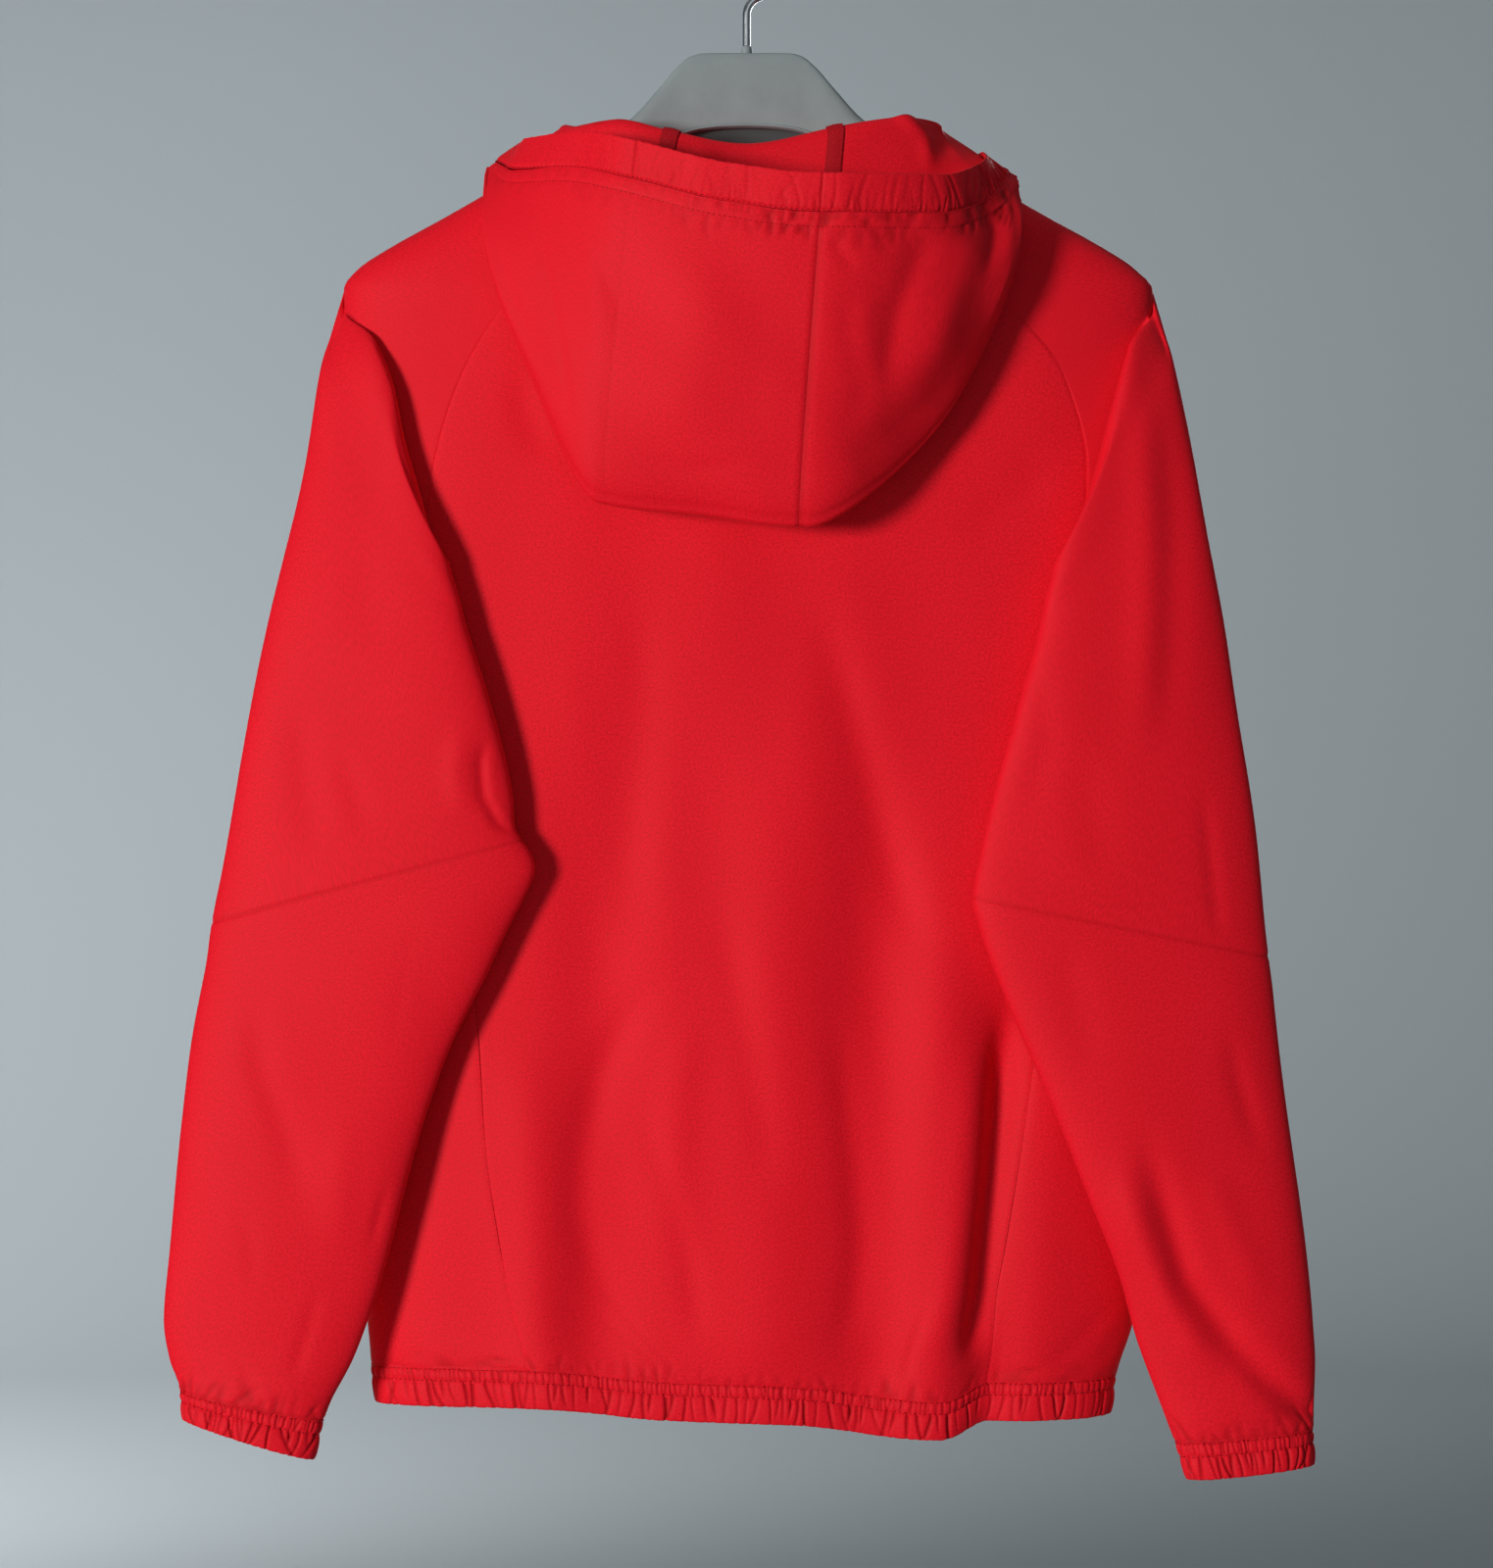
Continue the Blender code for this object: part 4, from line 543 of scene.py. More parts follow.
def sleeve_upper(side):
    def surface(share, along):
        """Upper sleeve: share round it, along from the raglan seam (0) to the elbow seam (1)."""
        share = share % 1.0
        top_across, top_height = raglan_edge(side, share)
        hole_across, hole_height = armhole(side, share, 1)
        seam_points = body(side, top_across, top_height)
        reach = np.linalg.norm(body(side, hole_across, hole_height) - seam_points, axis=-1)
        start = SEAM_EDGE / np.maximum(reach, SHORTEST_YOKE)
        run = mix(start, 1, np.clip(along / ARMHOLE_AT, 0, 1))
        yoke = body(side, mix(top_across, hole_across, run), mix(top_height, hole_height, run))

        line_across, line_height = armhole(side, share, 0)
        to_tip = np.clip(share / RIDGE, 0, 1)
        strength = ease(2.2 * (1 - to_tip))[:, None]
        hole = body(side, hole_across, hole_height)
        line = body(side, line_across, line_height)
        away = strength * np.array([0.0, -1.0, 0.0])
        first_ring = sleeve_tube(side, share, np.full_like(share, 1.0))
        lip_back = line + LIP_RISE * away
        turned_back = mix(hole, first_ring, BACK_TURN) + TURN_RISE * away
        lip_front = lay_on_back(mix(hole, first_ring, FRONT_LIP))
        turned_front = lay_on_back(mix(hole, first_ring, FRONT_TURN))
        near_tip = ease(3 * (1 - to_tip))[:, None]
        rows = [
            hole,
            mix(lip_front, lip_back, near_tip),
            mix(turned_front, turned_back, near_tip),
        ]
        knots = [ARMHOLE_AT, LIP_AT, TURNED_AT]
        for ring, place in enumerate(RING_ROWS_AT, start=1):
            rows.append(sleeve_tube(side, share, np.full_like(share, float(ring))))
            knots.append(place)
        tube = through(knots, rows, np.maximum(along, ARMHOLE_AT))
        return np.where((along < ARMHOLE_AT)[:, None], yoke, tube)
    return surface


def sleeve_stretch(side, first, last):
    """A stretch of the tube between two rings, for the lower sleeve and the cuff."""
    def surface(share, along):
        return sleeve_tube(side, share % 1.0, mix(first, last, along))
    return surface


# ---------------------------------------------------------------------- hood

def fold_points(before, at, after, width):
    """The two shoulders, the axis and the middle of a round fold between two stretches."""
    axis = unit(unit(at - before) + unit(at - after), 0.25)
    sideways = unit(after - before - np.sum((after - before) * axis, axis=-1, keepdims=True) * axis, 1e-6)
    middle = at - axis * width / 2
    return middle - sideways * width / 2, middle + sideways * width / 2, axis, middle, sideways


def arc(middle, sideways, axis, width, share):
    angle = pi * share
    return middle + (axis * np.sin(angle) - sideways * np.cos(angle)) * width / 2


def hood(at, along):
    """Point of the hood: at a section, along from the neck seam (0) to the rim (1)."""
    row = curve(HOOD, at)
    roll, fold, rim = row[:, 0:3], row[:, 3:6], row[:, 6:9]
    roll_width, fold_width, lift = np.maximum(row[:, 9:10], 0), np.maximum(row[:, 10:11], 0), row[:, 11:12]
    neck = neck_place(at)
    neck = neck + unit(roll - neck) * lift
    roll_in, roll_out, roll_axis, roll_middle, roll_way = fold_points(neck, roll, fold, roll_width)
    fold_in, fold_out, fold_axis, fold_middle, fold_way = fold_points(roll, fold, rim, fold_width)

    def share(start, end):
        return np.clip((along - start) / (end - start), 0, 1)[:, None]

    stand = mix(neck, roll_in, share(0, ROLL_FROM))
    over = arc(roll_middle, roll_way, roll_axis, roll_width, share(ROLL_FROM, ROLL_TO))
    down = mix(roll_out, fold_in, share(ROLL_TO, FOLD_FROM))
    under = arc(fold_middle, fold_way, fold_axis, fold_width, share(FOLD_FROM, FOLD_TO))
    rise = share(FOLD_TO, 1)
    length = np.linalg.norm(rim - fold_out, axis=-1, keepdims=True)
    up = mix(fold_out, rim, rise) + fold_way * BELLY * np.sin(pi * rise**0.6) * ease(length / 0.18)
    places = ((along <= ROLL_FROM, stand), (along <= ROLL_TO, over), (along <= FOLD_FROM, down),
              (along <= FOLD_TO, under), (along <= 1.5, up))
    result = up
    for here, points in reversed(places):
        result = np.where(here[:, None], points, result)
    return result


def hood_hem_start(at, gap):
    """Where along a section the casing of the rim begins, moved along by a gap."""
    row = curve(HOOD, at)
    length = np.linalg.norm(row[:, 6:9] - row[:, 3:6], axis=-1)
    return 1 - (np.minimum(HOOD_HEM_WIDTH / length, 0.88) - gap / length) * (1 - FOLD_TO)


# ---------------------------------------------------------------- front zip

def front_y(height):
    """Depth of the front edge along the zip, on the fronts and on the hood above them."""
    neck = NECKLINE[-1].height
    low = curve(LEVELS, np.minimum(height, neck))[..., 3]
    first = HOOD[0]
    start = float(curve(LEVELS, neck)[3])
    keys = (neck, first.roll_z, first.fold_z, first.rim_z)
    high = np.interp(height, keys, (start, first.roll_y, first.fold_y, first.rim_y))
    return np.where(height < neck, low, high)


def tape_y(height):
    """The zip's tape lies behind the front edges, a little further behind the two casings."""
    in_hem = ease((HEM_FRONT + 0.012 - height) / 0.010)
    in_hood = ease((height - NECKLINE[-1].height + 0.020) / 0.015)
    return front_y(height) - mix(TAPE_BEHIND, TAPE_BEHIND_CASING, np.maximum(in_hem, in_hood))


def zip_tape(side):
    on_front = np.linspace(HEM_FRONT, NECKLINE[-1].height, SEAM_ROWS + 1)[1:]
    on_hood = (HOOD[0].roll_z, HOOD[0].fold_z, ZIP_TOP)
    heights = np.array([HEM_FRONT - HEM_BAND_HEIGHT, HEM_FRONT, HEM_FRONT + 0.012, *on_front, *on_hood])

    def surface(over, up):
        height = np.interp(up, np.linspace(0, 1, len(heights)), heights)
        return stack(side * mix(TAPE_INNER, TAPE_OUTER, over), tape_y(height), height)
    return surface



# ------------------------------------------------------------ creases

# Soft troughs and ridges of a part and a face: how far out (in when negative), how wide, over what share of their
# length they fade at each end, then their line as x and height in turn. Lengths are in tenths of a millimetre.
TENTHS = 10000
CREASES = {
    ("body", BACK): (
        (-52, 70, .25, .12, 1434, -5843, 1423, -6139, 1396, -6515, 1364, -6892, 1332, -7215, 1305, -7538, 1256,
         -7807, 1197, -7979),
        (30, 100, .3, .2, 1283, -5977, 1240, -6462, 1197, -7000, 1132, -7538, 1014, -7979),
        (-14, 130, .3, .3, -654, -3449, -589, -3879, -568, -4310, -600, -4740, -632, -5170, -589, -5601, -417, -5816),
        (-16, 100, .3, .3, -385, -5681, -654, -6031, -815, -6354, -907, -6784, -917, -7107, -837, -7430, -643, -7807),
        (-13, 110, .3, .3, -196, -5224, -83, -5708, 24, -6246, 100, -6677, 78, -7161),
        (-25, 120, .3, .3, 369, -3610, 503, -4094, 638, -4579, 745, -5009, 885, -5439, 1025, -5881),
        (-16, 90, .3, .2, 476, -5870, 530, -6300, 584, -6784, 627, -7269, 584, -7645, 476, -7968),
        (10, 140, .3, .3, 239, -3933, 347, -4740, 476, -5386, 573, -5816),
        (13, 120, .3, .3, -299, -5816, -363, -6354, -417, -6892, -352, -7430),
        (-10, 80, .3, .2, -600, -6462, -438, -6946, -320, -7376, -245, -7860),
        (12, 160, .4, .4, -1052, -3772, -912, -4363, -837, -4955, -880, -5601),
        (-13, 90, .4, .4, -1289, -2373, -1219, -2696, -1073, -2992),
        (-12, 120, .4, .4, 1724, -2830, 1563, -3126, 1305, -3287, 1079, -3287),
        (-4, 17, .4, .1, -1165, -7672, -1003, -7634, -815, -7672, -627, -7817, -471, -7968),
        (-4, 20, .5, .1, -869, -7403, -734, -7591, -573, -7780, -374, -7979),
        (-5, 22, .5, .1, -1988, -7602, -1783, -7672, -1622, -7796, -1504, -7936),
        (-9, 40, .4, .1, 2074, -7581, 1929, -7753, 1778, -7887, 1692, -7979),
        (-7, 30, .4, .1, 2144, -7672, 2047, -7850, 1983, -7968),
        (-5, 25, .4, .1, 1003, -7591, 907, -7860, 874, -8022),
    ),
    ("body", FRONT): (
        (-23, 120, .3, .2, 560, -3800, 620, -5200, 560, -6600, 640, -7900),
        (19, 150, .3, .2, 1050, -3900, 1130, -5600, 1160, -7600),
        (-20, 130, .3, .2, -480, -3400, -560, -5000, -500, -6500, -560, -7900),
        (17, 150, .3, .3, -1080, -3600, -1160, -5400, -1120, -7500),
        (-17, 60, .3, .3, 1700, -3700, 1500, -4400, 1420, -5300),
        (-17, 60, .3, .3, -1640, -3700, -1460, -4300, -1340, -5400),
        (-5, 22, .4, .1, 240, -7300, 420, -7480, 700, -7960),
        (-5, 22, .4, .1, -900, -7400, -760, -7600, -540, -7970),
    ),
    ("left", BACK): (
        (-17, 32, .3, .2, -1418, -4460, -1455, -4632, -1439, -4805, -1364, -4944, -1256, -5020),
        (14, 70, .4, .4, -1547, -4363, -1590, -4686, -1525, -4955),
        (-12, 100, .3, .4, -2472, -4202, -2418, -4740, -2343, -5305),
        (-7, 60, .4, .4, -2257, -4498, -2149, -4767, -2052, -5090),
        (-3, 16, .3, .4, -1762, -5305, -1837, -5601, -1913, -6031, -1966, -6408),
        (-16, 80, .3, .4, -2730, -5870, -2655, -6300, -2494, -6731, -2386, -7161),
        (-6, 40, .4, .3, -2849, -6973, -2730, -7204, -2687, -7538),
        (-7, 40, .4, .1, -2332, -7457, -2408, -7742, -2483, -7990),
        (-7, 20, .5, 0, -2827, -7882, -2730, -8000, -2650, -8151),
        (-9, 30, .4, .4, -1966, -6892, -2009, -7086, -2074, -7322),
        (9, 90, .4, .4, -2203, -6462, -2235, -6946, -2246, -7430),
        (-9, 140, .3, .3, -2031, -2749, -2096, -3449, -2052, -4148),
    ),
    ("right", BACK): (
        (17, 100, .2, .3, 2144, -2265, 2187, -2749, 2208, -3449, 2187, -4148, 2144, -4740),
        (-12, 100, .3, .3, 2305, -2534, 2359, -3234, 2338, -3933, 2273, -4632),
        (-10, 45, .4, .2, 2488, -4686, 2542, -5117, 2596, -5612),
        (-9, 120, .3, .3, 1843, -4525, 1918, -5009, 1961, -5332),
        (-42, 85, .35, 0, 2144, -6515, 2241, -6892, 2413, -7452, 2693, -7828, 2897, -8033, 3091, -8215),
        (29, 90, .3, .2, 2026, -6731, 2155, -7204, 2327, -7602, 2574, -7979),
        (-13, 60, .4, .4, 2639, -6031, 2693, -6332, 2843, -6838),
        (-10, 110, .3, .4, 1724, -5547, 1810, -5977, 1939, -6408),
        (14, 100, .3, .3, 2499, -6784, 2660, -7215, 2854, -7645),
        (-6, 30, .3, .1, 2531, -8011, 2693, -7946, 2876, -8043),
        (-7, 80, .3, .4, 1606, -3987, 1638, -4525, 1520, -5009),
    ),
    ("left", FRONT): (
        (17, 120, .3, .3, -2100, -2800, -2230, -4000, -2260, -5000),
        (-17, 110, .3, .3, -2400, -3000, -2500, -4200, -2620, -5400),
        (-23, 90, .3, .1, -2150, -6200, -2450, -7000, -2720, -7900),
        (-13, 60, .2, .4, -1300, -5150, -1700, -5300, -2060, -5600),
        (14, 100, .3, .3, -2700, -5800, -2850, -6700, -2900, -7600),
    ),
    ("right", FRONT): (
        (17, 120, .3, .3, 2080, -2900, 2180, -4000, 2240, -5000),
        (-17, 110, .3, .3, 2380, -2800, 2480, -4000, 2600, -5300),
        (-26, 90, .3, .1, 2020, -6400, 2320, -7200, 2640, -8100),
        (-13, 60, .2, .4, 1300, -5450, 1650, -5600, 2000, -5900),
    ),
    ("hood", BACK): (
        (-6, 18, .2, .3, -1138, -1469, -1106, -1835, -1030, -2265, -982, -2588, -955, -2884),
        (-6, 40, .3, .4, -1375, -1700, -1299, -2050, -1154, -2437),
        (8, 70, .3, .4, -858, -1620, -826, -2050, -794, -2588),
        (-5, 25, .4, .4, -880, -1706, -751, -2050, -654, -2292),
        (9, 180, .3, .3, -245, -1835, -266, -2373, -299, -2911),
        (-5, 120, .3, .3, 78, -2050, 56, -2480, 24, -2965),
        (-26, 200, .1, .3, 907, -1706, 842, -2158, 788, -2588, 681, -2943),
        (-17, 70, .25, .3, 1046, -1727, 923, -1942, 837, -2168, 783, -2448, 777, -2749),
        (-12, 28, .1, .4, 455, -1819, 519, -1910, 605, -2007),
        (-9, 24, .2, .4, 842, -1679, 885, -1743, 923, -1813),
        (-11, 26, .2, .4, 659, -1716, 724, -1813, 767, -1921),
        (-9, 75, .3, .3, 508, -2050, 562, -2319, 638, -2610, 541, -2922),
        (16, 85, .2, .4, 1251, -1663, 1143, -2061, 976, -2475, 880, -2782),
        (7, 60, .3, .4, 691, -2050, 627, -2265, 659, -2545),
        (-16, 36, .1, .5, 1294, -1512, 1348, -1727, 1294, -2050),
        (12, 40, .1, .5, 1401, -1539, 1445, -1727, 1401, -1996),
        (-6, 50, .4, .4, -654, -2965, -331, -3051, 100, -3008),
    ),
    ("hood", FRONT): (
        (-26, 45, .1, .3, 830, -1010, 980, -1170, 1020, -1380),
        (26, 60, .1, .3, 960, -980, 1080, -1100, 1130, -1300),
        (-14, 70, .1, .3, -220, -1200, -250, -1400, -200, -1700),
    ),
}

# Gathers that start at a row of stitches: how far apart, how deep, how wide, how far they run, and how they lean
Gather = namedtuple("Gather", "pitch depth width reach lean")
BETWEEN_ROWS = Gather(0.0030, 0.00075, 0.00062, 0.100, 0.05)
HEM_GATHER = Gather(0.0058, 0.00125, 0.00080, 0.026, 0.10)
CUFF_GATHER = Gather(0.0046, 0.00135, 0.00085, 0.026, 0.20)
ABOVE_HEM = Gather(0.0058, 0.00070, 0.00110, 0.0100, 0.22)
ABOVE_CUFF = Gather(0.0060, 0.00090, 0.00140, 0.0130, 0.30)
HOOD_GATHER = Gather(0.0054, 0.00115, 0.00120, 0.030, 0.10)
UNDER_HOOD_HEM = Gather(0.0060, 0.00100, 0.00150, 0.0120, 0.30)
HOOD_ROWS = Gather(0.0036, 0.00120, 0.00085, 0.0100, 0.08)

# How strongly the hood is gathered, from the zip on its left (-1) to the one on its right (1), at its rows and rim
HOOD_DRAW = ((-1, 0.5), (-0.5, 0.6), (-0.4, 0.3), (-0.26, 0.25), (-0.08, 0.3), (0.04, 0.7), (0.14, 1.2), (0.24, 1.0),
             (0.34, 0.9), (0.40, 1.5), (0.48, 1.4), (0.52, 0.9), (1, 0.5))
RIM_DRAW = ((-1, 0.5), (-0.5, 0.5), (-0.4, 0.12), (0.1, 0.12), (0.18, 0.30), (0.28, 0.30), (0.34, 0.8), (0.375, 1.9),
            (0.50, 1.9), (0.56, 0.8), (1, 0.5))

# Section of a casing, outside then in: share of its height from the seam to the edge, and how far out it stands
Profile = namedtuple("Profile", "down out")
CASING_PROFILE = table_of(Profile,
    (0, .0001), (.02, 0), (.04, -.0003), (.065, .0001), (.11, .0004), (.16, .0005), (.21, .0005), (.26, .0004),
    (.3, .0001), (.33, -.0002), (.36, .0002), (.4, .0005), (.45, .0008), (.51, .001), (.57, .0011), (.63, .0012),
    (.69, .0012), (.75, .0012), (.81, .0012), (.87, .0011), (.92, .001), (.955, .0009), (.98, .0006), (.995, .0002),
    (1, -.0001), (.993, -.0006), (.975, -.001), (.93, -.0013), (.8, -.0014), (.6, -.0013), (.35, -.0011),
    (.03, -.0011))
# Casings: how far gathers run past a row, how long a closed one takes to lie calm at its join, the dip where a seam
# crosses it, how much its inside follows its gathers, the deepest gather, and the scallops of its edge
PAST_ROW, CLOSING = 0.0005, 0.004
CROSS_DIP, CROSS_WIDTH = 0.0007, 0.0006
INNER_SHARE, DEEPEST_GATHER = 0.35, 0.0024
EDGE_FROM, SCALLOP, DEEPEST_SCALLOP = 0.85, 0.0006, 0.0007
UPPER_ROW, LOWER_ROW = 2, 9
OUTSIDE_ROWS = 25
# The hood's casing is pressed flatter and has its second row of stitches below it
FLAT_OUT, FLAT_ROWS = 0.0006, range(4, 22)
FLAT_PROFILE = tuple(Profile(row.down, FLAT_OUT if at in FLAT_ROWS else row.out)
                     for at, row in enumerate(CASING_PROFILE))

SEAM_STEPS = (0.0005, 0.0011, 0.0019, 0.0030)
GATHER_STEPS = (0.0043, 0.0056, 0.0070, 0.0084, 0.0099, 0.0115, 0.0132, 0.0150, 0.0170)
STITCH_PITCH, STITCH_LENGTH, STITCH_WIDTH, STITCH_RISE = 0.0029, 0.0021, 0.00042, 0.0003
# How sharply a crease keeps to its face, and how gathers bend and how softly they begin and end
FACE_SHARPNESS = 2.5
GATHER_BEND, GATHER_END = 12, 0.0012
# Unevenness of hanging cloth: its size and depth, and from how many waves it is made
BODY_RUMPLE, SLEEVE_RUMPLE, CASING_RUMPLE = (0.11, 0.0005), (0.10, 0.0005), (0.03, 0.00025)
HOOD_LEAF_RUMPLE, HOOD_BAG_RUMPLE = (0.09, 0.0008), (0.06, 0.0006)
WAVES = 14
# How wide a seam's dip is; how deep a gather is where the painted shade in its cloth is darkest, and how much of that
# painted shade shows
SEAM_DIP_WIDTH = 0.0011
FULLY_SHADED_GATHER, MOST_PAINTED_SHADE = 0.0018, 0.8
# How far from the hem, the elbow and the cuff the creases fade out
HEM_CALM, ELBOW_CALM, CUFF_CALM = 0.016, 0.03, 0.014


# ------------------------------------------------------------- reading cloth

def steps(length, pitch, start=None, end=None):
    """Rows over a length as shares of it, closer together at an edge that is a seam or is gathered."""
    rows = np.linspace(0, 1, max(2, round(length / pitch)) + 1)
    extra = {"seam": SEAM_STEPS, "gather": SEAM_STEPS + GATHER_STEPS}
    for kind, flip in ((start, False), (end, True)):
        if kind:
            near = np.array(extra[kind]) / length
            away = 1 - rows if flip else rows
            rows = rows[(away == 0) | (away > near[-1] + 0.4 * pitch / length)]
            rows = np.sort(np.concatenate([rows, 1 - near if flip else near]))
    return rows


def even(read, count, samples=4000):
    """Shares at which a line that is read by share has points at even distances."""
    share = np.linspace(0, 1, samples)
    points = read(share)
    run = np.concatenate([[0], np.cumsum(np.linalg.norm(np.diff(points, axis=0), axis=1))])
    return np.interp(np.linspace(0, run[-1], count), run, share), run[-1]


def read_line(at, run, line):
    """Points of a line at the distances `at`, where `run` is the distance of each of its own points."""
    return np.stack([np.interp(at, run, line[:, i]) for i in range(3)], axis=-1)


def read_grid(surface, across, down):
    over, along = np.meshgrid(across, down)
    return surface(over.ravel(), along.ravel()).reshape(len(down), len(across), 3)


def facing(points, outside, place=(0.5, 0.5), closed=False):
    """Unit normals of a grid, turned so that they face `outside` at one place."""
    if closed:
        wide = np.concatenate([points[:, -2:-1], points, points[:, 1:2]], axis=1)
        across = wide[:, 2:] - wide[:, :-2]
    else:
        across = np.gradient(points, axis=1)
    normals = unit(np.cross(across, np.gradient(points, axis=0)), 1e-14)
    row, column = int(place[0] * (len(points) - 1)), int(place[1] * (points.shape[1] - 1))
    return normals if normals[row, column] @ np.array(outside) > 0 else -normals


def lengths(points, axis):
    """How far along one way of a grid each of its points lies."""
    step = np.linalg.norm(np.diff(points, axis=axis), axis=-1)
    start = np.zeros_like(np.take(step, [0], axis=axis))
    return np.concatenate([start, np.cumsum(step, axis=axis)], axis=axis)


def both_ways(points):
    return lengths(points, 1), lengths(points, 0)


def line_distance(line, x, z):
    """Distance from a line of places, and how far along it each point lies as a share."""
    line = np.array(line)
    parts = np.linalg.norm(np.diff(line, axis=0), axis=1)
    runs = np.concatenate([[0], np.cumsum(parts)])
    nearest, share = np.full(x.shape, 1.0), np.zeros_like(x)
    for i, part in enumerate(parts):
        way = (line[i + 1] - line[i]) / part
        along = np.clip((x - line[i, 0]) * way[0] + (z - line[i, 1]) * way[1], 0, part)
        distance = np.hypot(x - line[i, 0] - along * way[0], z - line[i, 1] - along * way[1])
        closer = distance < nearest
        nearest = np.where(closer, distance, nearest)
        share = np.where(closer, (runs[i] + along) / runs[-1], share)
    return nearest, share


def creased(part, points, normals):
    """How far the creases of one part push a grid out, each on the face that it belongs to."""
    x, z = points[..., 0], points[..., 2]
    out = np.zeros(x.shape)
    for face in (BACK, FRONT):
        on_face = ease(-normals[..., 1] * face * FACE_SHARPNESS)
        for by, width, fade_from, fade_to, *line in CREASES[part, face]:
            distance, share = line_distance(np.reshape(line, (-1, 2)) / TENTHS, x, z)
            fade = np.ones_like(share)
            if fade_from:
                fade = fade * ease(share / fade_from)
            if fade_to:
                fade = fade * ease((1 - share) / fade_to)
            out += by / TENTHS * np.exp(-(distance / (width / TENTHS)) ** 2) * fade * on_face
    return out


def rumpled(points, size, depth, seed):
    """Gentle unevenness of hanging cloth, longer up and down than across."""
    rng = np.random.default_rng(seed)
    total = np.zeros(points.shape[:-1])
    for _ in range(WAVES):
        way = unit(rng.normal(size=3) * [1, 1, 0.45])
        total += np.sin(points @ way * 2 * pi / (size * rng.uniform(0.5, 1.8)) + rng.uniform(0, 2 * pi))
    return depth * total / sqrt(WAVES / 2)


def gathers(run, away, kind, seed, strength=None, first=0.0, last=1e9):
    """Narrow uneven valleys across a strip of cloth. `run` is the place along its row of stitches, `away` the
    distance from that row; they lie from `first` to `last` away."""
    rng = np.random.default_rng(seed)
    count = max(3, int(run[-1] / kind.pitch))
    places = np.cumsum(rng.uniform(0.4, 1.6, count))
    places = places * run[-1] / (places[-1] + 1)
    out = np.zeros(away.shape)
    for place in places:
        depth, width, reach = (kind.depth * rng.uniform(0.35, 1.3), kind.width * rng.uniform(0.75, 1.4),
                               kind.reach * rng.uniform(0.4, 1.5))
        lean, bend = kind.lean * rng.normal(), rng.normal() * GATHER_BEND
        if strength is not None:
            depth = depth * np.interp(place, *strength)
        margin = 3 * width + 0.02 * abs(kind.lean) + 0.004
        here = slice(*np.searchsorted(run, [place - margin, place + margin]))
        part = away[:, here] - first
        shift = run[here][None] - place - lean * part - bend * part**2
        inside = ease(part / GATHER_END + 0.5) * ease((last - first - part) / GATHER_END + 0.5)
        fade = ease(1.4 * (1 - part / reach))
        out[:, here] -= depth * np.exp(-(shift / width) ** 2) * fade * inside
    return out


def seam_dip(distance, depth):
    """The edge of a sewn piece turns in to its seam."""
    return -depth * np.exp(-(distance / SEAM_DIP_WIDTH) ** 2)


def painted_shade_of(drawn):
    """How much painted shade drawn-in cloth gets: its colour is darkened in gathers and seam dips, where shade would
    fall.
    """
    return np.clip(-drawn / FULLY_SHADED_GATHER, 0, MOST_PAINTED_SHADE)


def tucked(points, sides):
    """Edges of a grid drawn on under the piece that they are sewn to, by so much for each side."""
    lines = {"left": (points[:, 0], points[:, 1]), "right": (points[:, -1], points[:, -2]),
             "first": (points[0], points[1]), "last": (points[-1], points[-2])}
    for side, by in sides.items():
        edge, next_to = lines[side]
        edge += by * unit(edge - next_to)
    return points


def rounded_fold(grid, share, down):
    """The upper sleeve's grid with the cloth beside its fold set out level with the curtain that hangs from it."""
    lip, turned = (grid[np.searchsorted(down, place)] for place in (LIP_AT, TURNED_AT))
    places, amounts, rises = np.array(FOLD_FILL).T
    move = (lip - turned) * np.array(FOLD_WAY) * np.interp(share, places, amounts)[:, None]
    move[:, 1] -= np.interp(share, places, rises)
    rows = ease((down - LIP_AT) / (TURNED_AT - LIP_AT)) * ease((FOLD_END - down) / (FOLD_END - TURNED_AT))
    return grid + rows[:, None, None] * move


# ------------------------------------------------------------- making objects

def mesh_of(name, work, smooth=True):
    mesh = bpy.data.meshes.new(name)
    work.to_mesh(mesh)
    work.free()
    if smooth:
        mesh.shade_smooth()
    return mesh


def placed(name, data, finish=None):
    made = bpy.data.objects.new(name, data)
    bpy.context.scene.collection.objects.link(made)
    if finish:
        data.materials.append(finish)
    return made


def fastened(made, stands_for=None, body="jacket"):
    """The object riding on its body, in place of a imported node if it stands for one."""
    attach(made, body)
    if stands_for:
        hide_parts(stands_for)
    return made


def round_edges(made, width, segments):
    rounding = made.modifiers.new("rounding", "BEVEL")
    rounding.width = width
    rounding.segments = segments
    rounding.limit_method = "ANGLE"
    return rounding


